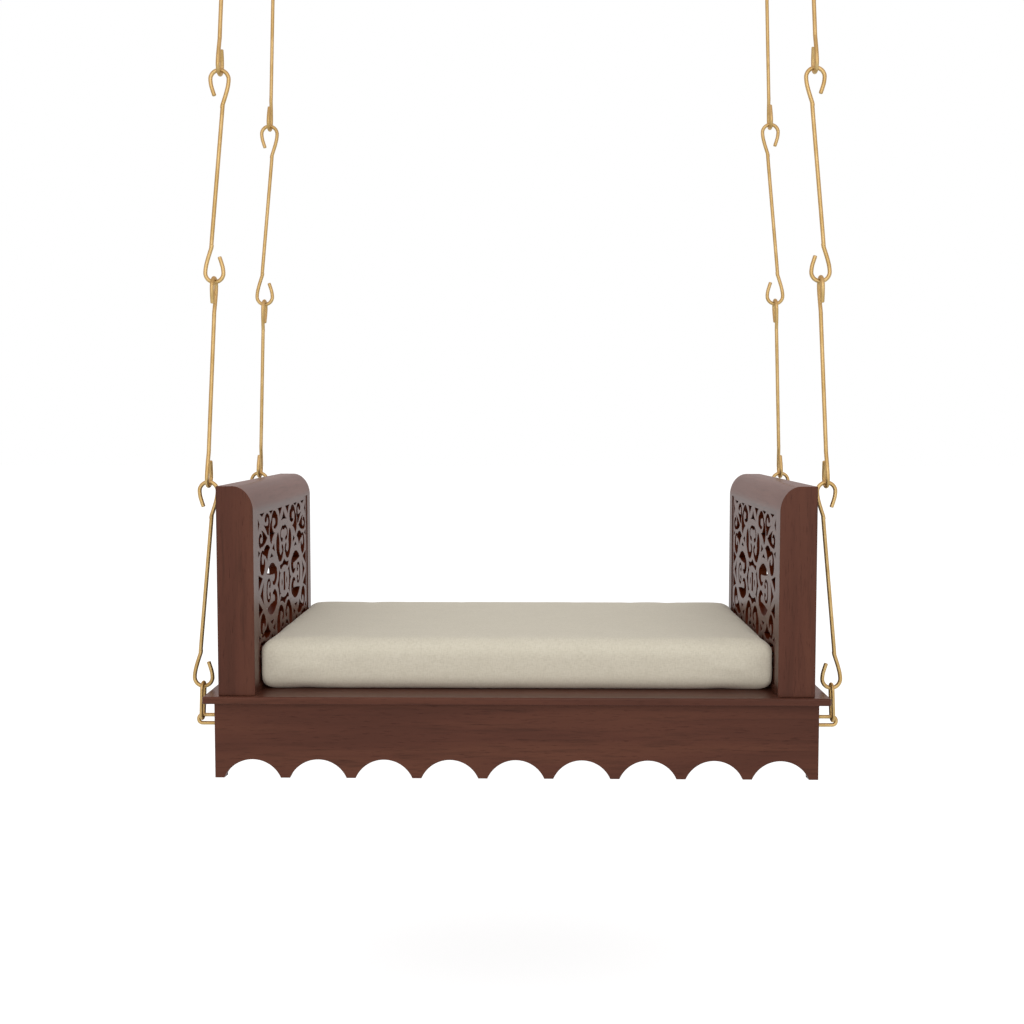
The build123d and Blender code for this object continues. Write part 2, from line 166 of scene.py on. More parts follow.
def eased_steps(start: float, stop: float, ease_start: float, ease_stop: float, steps: int) -> np.ndarray:
    """The depths and insets of the rings of a bar whose two ends are eased by quarter circles.

    With angle a from 0 to 90 degrees, a ring lies r(1 - cos a) behind the end and is drawn in
    by r(1 - sin a).

    Args:
        start: Where the bar starts along its axis.
        stop: Where it stops.
        ease_start: The radius of the easing at its start.
        ease_stop: The radius of the easing at its end.
        steps: How many flats make a quarter circle.

    Returns:
        One row for each ring: its place along the axis and its inset.
    """
    angle = np.linspace(0.0, math.pi / 2, steps + 1)
    first = np.stack([start + ease_start * (1 - np.cos(angle)), ease_start * (1 - np.sin(angle))], axis=1)
    last = np.stack([stop - ease_stop * (1 - np.cos(angle)), ease_stop * (1 - np.sin(angle))], axis=1)
    return np.concatenate([first, last[::-1]])


def skinned(rings: np.ndarray, closed: bool = False) -> Mesh:
    """Join each ring of points to the next one by quads.

    Args:
        rings: The points, one row for each ring, which is closed on itself.
        closed: Whether the last ring joins the first; otherwise each end gets a flat face.

    Returns:
        The points and faces of the closed skin.
    """
    number, count = rings.shape[:2]
    point = np.arange(count)[None, :]
    beside = (point + 1) % count
    here = np.arange(number if closed else number - 1)[:, None] * count
    after = (here + count) % (number * count)
    quads = np.stack([here + point, here + beside, after + beside, after + point], axis=-1)
    faces = [tuple(quad) for quad in quads.reshape(-1, 4).tolist()]
    if not closed:
        last = (number - 1) * count
        faces += [tuple(range(count))[::-1], tuple(range(last, last + count))]
    return rings.reshape(-1, 3), faces


def in_space(flat: np.ndarray, along: np.ndarray | float, plane: Plane2D) -> np.ndarray:
    """Put flat points and their places along the third axis into row axes.

    Args:
        flat: The points on the plane, two numbers each.
        along: Their places along the axis across it.
        plane: The axes that the points are drawn on.

    Returns:
        The points with three numbers each.
    """
    first, second, third = plane.value
    space = np.empty((*flat.shape[:-1], 3))
    space[..., first] = flat[..., 0]
    space[..., second] = flat[..., 1]
    space[..., third] = along
    return space


def prism(
    outline: Outline, start: float, stop: float, plane: Plane2D, ease: tuple[float, float], steps: int = 3
) -> Mesh:
    """Carry an outline along the axis across its plane, with both ends eased.

    Args:
        outline: The section's closed outline.
        start: Where the bar starts along its axis.
        stop: Where it stops.
        plane: The axes that the outline is drawn on.
        ease: The easing radius at the start and at the end.
        steps: How many flats make each easing.

    Returns:
        The points and faces of the closed bar.
    """
    rings = eased_steps(start, stop, *ease, steps)
    flat = np.stack([grown(outline, -inset) for inset in rings[:, 1]])
    return skinned(in_space(flat, rings[:, :1], plane))


def smooth_path(points: Sequence[Sequence[float]], samples: int, closed: bool = False) -> np.ndarray:
    """A curve through every point.

    Between two points it is the Catmull-Rom cubic of those two and their two neighbours:
    half of (2b + (c-a)t + (2a-5b+4c-d)t^2 + (3b-a-3c+d)t^3).

    Args:
        points: The points that it passes through.
        samples: How many straight runs each span gets.
        closed: Whether it comes back to its first point.

    Returns:
        The sampled points.
    """
    knots = np.asarray(points, float)
    if closed:
        knots = np.concatenate([knots[-1:], knots, knots[:2]])
    else:
        knots = np.concatenate([2 * knots[:1] - knots[1:2], knots, 2 * knots[-1:] - knots[-2:-1]])
    a, b, c, d = (knots[k : len(knots) - 3 + k, None, :] for k in range(4))
    t = np.linspace(0.0, 1.0, samples, endpoint=False)[None, :, None]
    path = 0.5 * (2 * b + (c - a) * t + (2 * a - 5 * b + 4 * c - d) * t**2 + (3 * b - a - 3 * c + d) * t**3)
    path = path.reshape(-1, knots.shape[1])
    return path if closed else np.concatenate([path, knots[-2:-1]])


def wire(path: np.ndarray, radius: float, across: np.ndarray, sides: int = 20, closed: bool = False) -> Mesh:
    """Round wire along a flat path.

    Each ring is p + r(n cos a + m sin a), where m is the normal of the path's plane and n is
    m crossed with the path's direction. An open wire's cut ends are eased by a quarter of
    its radius.

    Args:
        path: The points of the wire's centre line, all in one plane.
        radius: The wire's radius.
        across: The unit normal of that plane.
        sides: How many flats go round the wire.
        closed: Whether the wire closes on itself.

    Returns:
        The points and faces of the wire.
    """
    if closed:
        direction = np.roll(path, -1, axis=0) - np.roll(path, 1, axis=0)
        width = np.full(len(path), radius)
    else:
        ease = radius / 4
        start, stop = path[0], path[-1]
        into, out = path[1] - start, path[-2] - stop
        into, out = into / np.linalg.norm(into), out / np.linalg.norm(out)
        path = np.concatenate([[start], [start + into * ease], path[1:-1], [stop + out * ease], [stop]])
        direction = np.gradient(path, axis=0)
        width = np.full(len(path), radius)
        width[[0, -1]] -= ease
    direction = direction / np.linalg.norm(direction, axis=1)[:, None]
    side = np.cross(across, direction)
    angle = np.linspace(0.0, 2 * math.pi, sides, endpoint=False)[None, :, None]
    ring = side[:, None, :] * np.cos(angle) + np.asarray(across)[None, None, :] * np.sin(angle)
    return skinned(path[:, None, :] + ring * width[:, None, None], closed)


def pierced_sheet(
    outer: Outline, holes: Sequence[Outline], start: float, stop: float, plane: Plane2D, ease: float
) -> Mesh:
    """A flat sheet with shaped holes, whose cut edges are chamfered on both faces.

    Both faces are the triangles between the outer outline and the holes. Each outline has four
    rings: at the two faces it is moved into the wood by the chamfer, and just inside them it
    has its own size.

    Args:
        outer: The sheet's outline.
        holes: The outlines of its holes.
        start: Where the sheet's one face lies along the third axis.
        stop: Where its other face lies.
        plane: The axes that the outlines are drawn on.
        ease: The chamfer's width.

    Returns:
        The points and faces of the closed sheet.
    """
    loops = [outer if signed_area(outer) > 0 else outer[::-1]]
    loops += [hole if signed_area(hole) < 0 else hole[::-1] for hole in holes]
    face = np.concatenate([grown(loops[0], -ease)] + [grown(loop, ease) for loop in loops[1:]])
    starts = np.cumsum([0] + [len(loop) for loop in loops])
    numbers = [list(range(first, after)) for first, after in zip(starts, starts[1:])]
    numbers[1:] = [hole[::-1] for hole in numbers[1:]]
    corners = [Vector(point) for point in face]
    found = delaunay_2d_cdt(corners, [], numbers, INSIDE_TRIANGLES, SAME_POINT)
    made, _, triangles, made_from, _, inside_of = found
    if len(made) != len(face):
        LOG.warning("a hole's edge crosses another: %d points became %d", len(face), len(made))
    wood = [tuple(made_from[v][0] for v in tri) for tri, inside in zip(triangles, inside_of) if inside == [0]]
    true_size = np.concatenate(loops)
    layers = ((face, start), (true_size, start + ease), (true_size, stop - ease), (face, stop))
    points = np.concatenate([in_space(flat, depth, plane) for flat, depth in layers])
    total = len(face)
    faces = [tri[::-1] for tri in wood] + [tuple(v + 3 * total for v in tri) for tri in wood]
    for first, loop in zip(starts, loops):
        here = first + np.arange(len(loop))
        after = np.roll(here, -1)
        for low in (0, total, 2 * total):
            quads = low + np.stack([here, after, total + after, total + here], axis=1)
            faces += [tuple(quad) for quad in quads.tolist()]
    return points, faces


def joined(meshes: Sequence[Mesh]) -> Mesh:
    """Several meshes as one, without touching their points."""
    shifts = np.cumsum([0] + [len(points) for points, _ in meshes])
    faces = [tuple(v + int(shift) for v in face) for (_, own), shift in zip(meshes, shifts) for face in own]
    return np.concatenate([points for points, _ in meshes]), faces


# ---- pieces ----
def outward(mesh: bpy.types.Mesh, merged: float = 0.0) -> None:
    """Turn a mesh's faces outwards.

    Args:
        mesh: The mesh, which is changed.
        merged: How near to each other points are first made one, in metres; 0 leaves them.
    """
    work = bmesh.new()
    work.from_mesh(mesh)
    if merged:
        bmesh.ops.remove_doubles(work, verts=work.verts, dist=merged)
    bmesh.ops.recalc_face_normals(work, faces=work.faces)
    work.to_mesh(mesh)
    work.free()


def make_piece(
    name: str, shape: Mesh, material: bpy.types.Material, sharp: float = 30.0, weighted: bool = True
) -> bpy.types.Object:
    """Write a mesh in metres, turn its faces outwards and give it its material.

    Args:
        name: The piece's name.
        shape: Its points in millimetres and its faces.
        material: Its finish.
        sharp: Edges that turn by more than this many degrees stay sharp.
        weighted: Whether large faces keep their flat shading beside rounded edges.

    Returns:
        The new object, with its place in its mesh.
    """
    points, faces = shape
    mesh = bpy.data.meshes.new(name)
    mesh.from_pydata((np.asarray(points) * MM).tolist(), [], faces)
    outward(mesh)
    mesh.polygons.foreach_set("use_smooth", np.ones(len(mesh.polygons), bool))
    mesh.set_sharp_from_angle(angle=math.radians(sharp))
    mesh.materials.append(material)
    piece = bpy.data.objects.new(name, mesh)
    bpy.context.scene.collection.objects.link(piece)
    if weighted:
        shading = piece.modifiers.new("flat faces", "WEIGHTED_NORMAL")
        shading.keep_sharp = True
    return piece


def settle(piece: bpy.types.Object, body: str, slot: str, *nodes: str) -> None:
    """Hand a finished piece to its body and hide the nodes that it stands for.

    Args:
        piece: The piece.
        body: The body that it rides on.
        slot: The record's finish slot; not used.
        nodes: The nodes that it stands for.
    """
    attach(piece, body)
    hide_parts(*nodes)
    LOG.info("%s rides on %s, %d faces", piece.name, body, len(piece.data.polygons))


def dress(node: bpy.types.Object, material: bpy.types.Material) -> None:
    """Give a node that stays its finish."""
    node.data.materials.clear()
    node.data.materials.append(material)


def points_of(mesh: bpy.types.Mesh) -> np.ndarray:
    """A mesh's points in metres, one a row."""
    points = np.empty(len(mesh.vertices) * 3, np.float32)
    mesh.vertices.foreach_get("co", points)
    return points.reshape(-1, 3)


def move_points(mesh: bpy.types.Mesh, points: np.ndarray) -> None:
    """Put a mesh's points in new places, in metres."""
    mesh.vertices.foreach_set("co", points.astype(np.float32).ravel())
    mesh.update()


# ---- finishes ----
def linear(code: str) -> tuple[float, float, float, float]:
    """An sRGB hex colour as linear values: c/12.92 when dark, else ((c + 0.055)/1.055)^2.4."""
    channels = [int(code[k : k + 2], 16) / 255 for k in (1, 3, 5)]
    r, g, b = (c / 12.92 if c <= 0.04045 else ((c + 0.055) / 1.055) ** 2.4 for c in channels)
    return (r, g, b, 1.0)


def add_node(
    tree: bpy.types.NodeTree, kind: str, settings: dict | None = None, links: dict | None = None
) -> bpy.types.Node:
    """Add one shader node with its settings and links.

    Args:
        tree: The material's or world's node tree.
        kind: The node's type.
        settings: The node's own properties, or its inputs by name or number, and their values.
        links: Its inputs by name or number, and the outputs that feed them.

    Returns:
        The new node.
    """
    node = tree.nodes.new(kind)
    for key, value in (settings or {}).items():
        if isinstance(key, str) and key in node.bl_rna.properties:
            setattr(node, key, value)
        else:
            node.inputs[key].default_value = value
    for key, source in (links or {}).items():
        tree.links.new(source, node.inputs[key])
    return node


def blank_material(name: str) -> bpy.types.Material:
    """Make a material with an empty node tree.

    Args:
        name: The material's name.

    Returns:
        The material.
    """
    material = bpy.data.materials.new(name)
    material.use_nodes = True
    material.node_tree.nodes.clear()
    return material


@dataclass(frozen=True)
class LacqueredSheesham:
    """Indian rosewood, planed, stained red-brown and lacquered.

    The stain leaves long soft streaks and fine dark pores along the grain, and the clear lacquer
    over them mirrors a pale room at low angles, so that faces seen along their length look grey.
    Fretsawn walls take less lacquer and so are duller; their deeper, darker red is painted shade for the
    insides of the holes.
    """

    stain: str = "#563227"
    sap: str = "#603a2c"
    streak: str = "#3f251c"
    pore: str = "#2a0e08"
    # The hole walls' colour, darker and redder than the stain: painted shade inside the holes.
    shaded_cut_edge: str = "#471600"
    figure_mm: float = 34.0
    streak_mm: float = 7.0
    pore_mm: float = 1.6
    stretch: float = 0.07
    log_way: tuple[float, float, float] = (1.0, 0.37, 0.61)
    lacquer_ior: float = 1.42
    lacquer_tint: str = "#d0aea4"
    roughness: float = 0.33
    roughness_drop: float = 0.02
    roughness_rise: float = 0.04
    cut_roughness: float = 0.4
    wall_tilt: tuple[float, float] = (0.85, 0.55)
    pore_depth_mm: float = 0.4
    pore_strength: float = 0.08

    def make(self, name: str, grain: Grain, shift: float, fretted: bool = False) -> bpy.types.Material:
        """Build the finish for one board.

        Three noises, all stretched along the grain, give the broad figure, the streaks and the
        pores. Each pattern then mixes its own colour over what lies under it.

        Args:
            name: The material's name.
            grain: Which way the fibres run.
            shift: How far along the log this board was cut, in metres, so that no two look alike.
            fretted: Whether the board has fretsawn walls that show.

        Returns:
            The material.
        """
        material = blank_material(name)
        tree = material.node_tree
        place = add_node(tree, "ShaderNodeTexCoord")
        cut = {
            "Location": [share * shift for share in self.log_way],
            "Scale": [self.stretch if grain.value == axis else 1.0 for axis in "xyz"],
        }
        along = add_node(tree, "ShaderNodeMapping", cut, {"Vector": place.outputs["Object"]})
        noises = [
            add_node(
                tree,
                "ShaderNodeTexNoise",
                {"Scale": 1 / (width * MM), "Detail": detail, "Roughness": fineness, "Distortion": waver},
                {"Vector": along.outputs["Vector"]},
            ).outputs["Fac"]
            for width, detail, fineness, waver in (
                (self.figure_mm, 3.0, 0.5, 0.5),
                (self.streak_mm, 4.0, 0.62, 0.4),
                (self.pore_mm, 2.0, 0.5, 0.0),
            )
        ]
        figure, streaks, pores = noises
        shares = [
            add_node(
                tree,
                "ShaderNodeMapRange",
                {"From Min": none, "From Max": full, "To Max": most},
                {"Value": noise},
            ).outputs["Result"]
            for noise, none, full, most in (
                (figure, 0.45, 0.72, 1.0),
                (figure, 0.5, 0.3, 0.45),
                (streaks, 0.5, 0.72, 0.65),
                (pores, 0.6, 0.75, 0.6),
            )
        ]
        pale, shadow, dark, specks = shares
        darker = add_node(tree, "ShaderNodeMath", {"operation": "MAXIMUM"}, {0: dark, 1: shadow})
        below: dict[int, Socket] = {}
        for code, share in ((self.sap, pale), (self.streak, darker.outputs["Value"]), (self.pore, specks)):
            colours = {"data_type": "RGBA", UNDER: linear(self.stain), OVER: linear(code)}
            below = {UNDER: add_node(tree, "ShaderNodeMix", colours, {SHARE: share, **below}).outputs[MIXED]}
        dull = add_node(
            tree,
            "ShaderNodeMapRange",
            {"To Min": self.roughness - self.roughness_drop, "To Max": self.roughness + self.roughness_rise},
            {"Value": streaks},
        )
        stained, gloss = below[UNDER], dull.outputs["Result"]
        if fretted:
            stained, gloss = self.sawn(tree, place.outputs["Normal"], stained, gloss)
        bump = add_node(
            tree,
            "ShaderNodeBump",
            {"Strength": self.pore_strength, "Distance": self.pore_depth_mm * MM, "invert": True},
            {"Height": specks},
        )
        shader = add_node(
            tree,
            "ShaderNodeBsdfPrincipled",
            {"IOR": self.lacquer_ior, "Specular Tint": linear(self.lacquer_tint)},
            {"Base Color": stained, "Roughness": gloss, "Normal": bump.outputs["Normal"]},
        )
        add_node(tree, "ShaderNodeOutputMaterial", {}, {"Surface": shader.outputs["BSDF"]})
        return material

    def sawn(
        self, tree: bpy.types.NodeTree, normal: Socket, stained: Socket, gloss: Socket
    ) -> tuple[Socket, Socket]:
        """Turn the walls of a panel's holes redder and duller than its two faces; the darker red is painted
        shade inside the holes.

        Args:
            tree: The material's nodes.
            normal: The surface's own direction; a panel's faces look along X.
            stained: The faces' colour.
            gloss: The faces' roughness.

        Returns:
            The colour and the roughness with the walls told apart.
        """
        parts = add_node(tree, "ShaderNodeSeparateXYZ", {}, {"Vector": normal})
        flat = add_node(tree, "ShaderNodeMath", {"operation": "ABSOLUTE"}, {0: parts.outputs["X"]})
        faces, walls = self.wall_tilt
        tilt = {"From Min": faces, "From Max": walls}
        wall = add_node(tree, "ShaderNodeMapRange", tilt, {"Value": flat.outputs["Value"]}).outputs["Result"]
        # Mix in the walls' painted shade: a darker, redder colour on the hole walls.
        colours = {"data_type": "RGBA", OVER: linear(self.shaded_cut_edge)}
        colour = add_node(tree, "ShaderNodeMix", colours, {SHARE: wall, UNDER: stained})
        values = {"data_type": "FLOAT", OVER_VALUE: self.cut_roughness}
        dull = add_node(tree, "ShaderNodeMix", values, {SHARE: wall, UNDER_VALUE: gloss})
        return colour.outputs[MIXED], dull.outputs[MIXED_VALUE]


@dataclass(frozen=True)
class DrawnBrass:
    """Yellow brass wire, drawn, bent cold and buffed.

    Buffing leaves a soft even shine; handling dulls it in patches a few centimetres across.
    """

    bright: str = "#cfb47e"
    dulled: str = "#c2a56c"
    patch_mm: float = 26.0
    patch_detail: float = 3.0
    patch_edge: tuple[float, float] = (0.35, 0.65)
    roughness: float = 0.5
    roughness_drop: float = 0.05
    roughness_rise: float = 0.1

    def make(self, name: str) -> bpy.types.Material:
        """Build the finish.

        Args:
            name: The material's name.

        Returns:
            The material.
        """
        material = blank_material(name)
        tree = material.node_tree
        place = add_node(tree, "ShaderNodeTexCoord")
        grit = {"Scale": 1 / (self.patch_mm * MM), "Detail": self.patch_detail}
        noise = add_node(tree, "ShaderNodeTexNoise", grit, {"Vector": place.outputs["Object"]})
        patches = noise.outputs["Fac"]
        clean, handled = self.patch_edge
        edge = {"From Min": clean, "From Max": handled}
        worn = add_node(tree, "ShaderNodeMapRange", edge, {"Value": patches})
        colours = {"data_type": "RGBA", UNDER: linear(self.bright), OVER: linear(self.dulled)}
        colour = add_node(tree, "ShaderNodeMix", colours, {SHARE: worn.outputs["Result"]})
        dull = add_node(
            tree,
            "ShaderNodeMapRange",
            {"To Min": self.roughness - self.roughness_drop, "To Max": self.roughness + self.roughness_rise},
            {"Value": patches},
        )
        shader = add_node(
            tree,
            "ShaderNodeBsdfPrincipled",
            {"Metallic": 1.0},
            {"Base Color": colour.outputs[MIXED], "Roughness": dull.outputs["Result"]},
        )
        add_node(tree, "ShaderNodeOutputMaterial", {}, {"Surface": shader.outputs["BSDF"]})
        return material


@dataclass(frozen=True)
class NaturalLinen:
    """Undyed linen upholstery cloth, plain-woven from slubby yarn.

    The yarns' uneven thickness gives short pale and dark dashes both ways. They are drawn
    about twice as coarse as real yarn, because real ones are finer than a pixel.
    """

    yarn: str = "#dad2bf"
    pale: str = "#e3dccb"
    shade: str = "#ccc4b1"
    thread_mm: float = 1.5
    slub_mm: float = 6.5
    cloud_mm: float = 60.0
    roughness: float = 0.92
    ior: float = 1.45
    shine: float = 0.2
    fuzz: float = 0.15
    fuzz_roughness: float = 0.5
    weave_depth_mm: float = 0.4
    weave_strength: float = 0.15

    def make(self, name: str) -> bpy.types.Material:
        """Build the finish.

        The weave is the sum of two noises, one stretched along the weft and one along the warp.

        Args:
            name: The material's name.

        Returns:
            The material.
        """
        material = blank_material(name)
        tree = material.node_tree
        spot = add_node(tree, "ShaderNodeTexCoord").outputs["Object"]
        stretch = self.thread_mm / self.slub_mm
        thread = {"Scale": 1 / (self.thread_mm * MM), "Detail": 1.0, "Roughness": 0.4}
        yarns = {}
        for number, along in enumerate(((stretch, 1.0, 1.0), (1.0, stretch, stretch))):
            lay = add_node(tree, "ShaderNodeMapping", {"Scale": along}, {"Vector": spot})
            noise = add_node(tree, "ShaderNodeTexNoise", thread, {"Vector": lay.outputs["Vector"]})
            yarns[number] = noise.outputs["Fac"]
        weave = add_node(tree, "ShaderNodeMath", {"operation": "ADD"}, yarns).outputs["Value"]
        cloud = {"Scale": 1 / (self.cloud_mm * MM), "Detail": 2.0}
        clouds = add_node(tree, "ShaderNodeTexNoise", cloud, {"Vector": spot}).outputs["Fac"]
        below: dict[int, Socket] = {}
        for code, pattern, none, full, most in (
            (self.pale, weave, 1.0, 1.35, 0.65),
            (self.shade, weave, 0.98, 0.66, 0.65),
            (self.shade, clouds, 0.3, 0.7, 0.16),
        ):
            reach = {"From Min": none, "From Max": full, "To Max": most}
            share = add_node(tree, "ShaderNodeMapRange", reach, {"Value": pattern}).outputs["Result"]
            colours = {"data_type": "RGBA", UNDER: linear(self.yarn), OVER: linear(code)}
            below = {UNDER: add_node(tree, "ShaderNodeMix", colours, {SHARE: share, **below}).outputs[MIXED]}
        relief = {"Strength": self.weave_strength, "Distance": self.weave_depth_mm * MM}
        bump = add_node(tree, "ShaderNodeBump", relief, {"Height": weave})
        shader = add_node(
            tree,
            "ShaderNodeBsdfPrincipled",
            {
                "Roughness": self.roughness,
                "IOR": self.ior,
                "Specular IOR Level": self.shine,
                "Sheen Weight": self.fuzz,
                "Sheen Roughness": self.fuzz_roughness,
            },
            {"Base Color": below[UNDER], "Normal": bump.outputs["Normal"]},
        )
        add_node(tree, "ShaderNodeOutputMaterial", {}, {"Surface": shader.outputs["BSDF"]})
        return material


@dataclass
class Finishes:
    """The finishes of the whole swing; each board gets its own cut of the wood."""

    wood: LacqueredSheesham = field(default_factory=LacqueredSheesham)
    brass: bpy.types.Material = field(default_factory=lambda: DrawnBrass().make("drawn brass"))
    linen: bpy.types.Material = field(default_factory=lambda: NaturalLinen().make("natural linen"))
    board_spacing: float = 1.37
    boards: int = 0

    def board(self, name: str, grain: Grain, fretted: bool = False) -> bpy.types.Material:
        """The next board's wood."""
        self.boards += 1
        return self.wood.make(f"sheesham {name}", grain, self.board_spacing * self.boards, fretted)

    def fit_board(self, name: str, shape: Mesh, grain: Grain, node: str, fretted: bool = False) -> None:
        """Make one wooden piece of the seat, finish it and put it in its node's place.

        Args:
            name: The piece's name.
            shape: Its points and faces.
            grain: Which way its fibres run.
            node: The node that it stands for.
            fretted: Whether it is a pierced panel. Its flat faces end at sharp chamfers, so
                they need no weighted shading.
        """
        piece = make_piece(name, shape, self.board(name, grain, fretted), weighted=not fretted)
        settle(piece, "seat", "wood", node)


# ---- seat ----
@dataclass
class SeatDeck:
    """The seat board with its four scalloped aprons."""

    finishes: Finishes
    nodes: dict[str, bpy.types.Object]
    length: float = 1067.0
    depth: float = 610.0
    board_bottom: float = 131.0
    board_top: float = 143.5
    board_round: float = 3.0
    underside_round: float = 1.5
    plan_corner: float = 5.0
    board_steps: int = 6
    apron_inset: float = 17.0
    apron_thickness: float = 18.0
    front_arches: int = 9
    side_arches: int = 5
    arch_foot: float = 15.7
    arch_rise: float = 32.0
    arch_points: int = 41
    ease: float = 0.8
    ease_steps: int = 2
    mitre_gap: float = 0.24

    def board(self) -> None:
        """The board: its plan with eased corners, carried up, rounded along its top edge."""
        x, y = self.length / 2, self.depth / 2
        plan = rounded_outline([(-x, -y), (x, -y), (x, y), (-x, y)], self.plan_corner, self.board_steps)
        ease = (self.underside_round, self.board_round)
        shape = prism(plan, self.board_bottom, self.board_top, Plane2D.PLAN, ease, self.board_steps)
        piece = make_piece("bench_board", shape, self.finishes.board("bench board", Grain.ALONG_SEAT))
        settle(piece, "seat", "wood", "seat_board")

    def scallops(self, length: float, arches: int) -> Outline:
        """An apron's outline: a straight top over a row of arches, each an arc between two feet.

        An arc with chord c and rise h has radius (c^2/4 + h^2) / 2h.

        Args:
            length: The apron's length along its outer face.
            arches: How many arches it has.

        Returns:
            The closed outline, out from the apron's middle and up from its foot.
        """
        half = length / 2
        pitch = (length - self.arch_foot) / arches
        chord = pitch - self.arch_foot
        radius = (chord**2 / 4 + self.arch_rise**2) / (2 * self.arch_rise)
        reach = math.asin(chord / 2 / radius)
        if self.arch_rise > radius:
            reach = math.pi - reach
        turn = np.linspace(-reach, reach, self.arch_points)
        middles = -half + self.arch_foot / 2 + pitch * (np.arange(arches) + 0.5)
        x = middles[:, None] + radius * np.sin(turn)[None, :]
        z = np.broadcast_to(self.arch_rise - radius + radius * np.cos(turn), x.shape)
        bottom = np.stack([x.ravel(), z.ravel()], axis=1)
        ends = np.array([[half, 0.0], [half, self.board_bottom], [-half, self.board_bottom], [-half, 0.0]])
        return np.concatenate([bottom, ends])

    def apron(self, place: str, side: int, across: bool) -> None:
        """One mitred apron.

        The outline is carried inwards through the apron's thickness, and each ring is clipped to
        the 45 degree mitres at its two ends.

        Args:
            place: Where it is: front, back, left or right.
            side: -1 for the front or left apron, 1 for the back or right one.
            across: Whether it runs along the seat's depth.
        """
        half, face = self.length / 2 - self.apron_inset, self.depth / 2 - self.apron_inset
        arches, plane, grain = self.front_arches, Plane2D.FRONT_VIEW, Grain.ALONG_SEAT
        if across:
            half, face = face, half
            arches, plane, grain = self.side_arches, Plane2D.SIDE_VIEW, Grain.FRONT_TO_BACK
        rings = eased_steps(0.0, self.apron_thickness, self.ease, self.ease, self.ease_steps)
        outline = self.scallops(2 * half, arches)
        flat = np.stack([grown(outline, -inset) for inset in rings[:, 1]])
        behind = rings[:, :1]
        limit = half - np.maximum(behind, self.mitre_gap)
        flat[..., 0] = np.clip(flat[..., 0], -limit, limit)
        shape = skinned(in_space(flat, side * (face - behind), plane))
        self.finishes.fit_board(f"scalloped_{place}", shape, grain, f"{place}_apron")

    def build(self) -> None:
        """Build the deck and finish the hidden frame under it."""
        self.board()
        self.apron("front", -1, False)
        self.apron("back", 1, False)
        self.apron("left", -1, True)
        self.apron("right", 1, True)
        dress(self.nodes["cross_battens"], self.finishes.board("battens", Grain.FRONT_TO_BACK))
        dress(self.nodes["corner_blocks"], self.finishes.board("glue blocks", Grain.UPRIGHT))


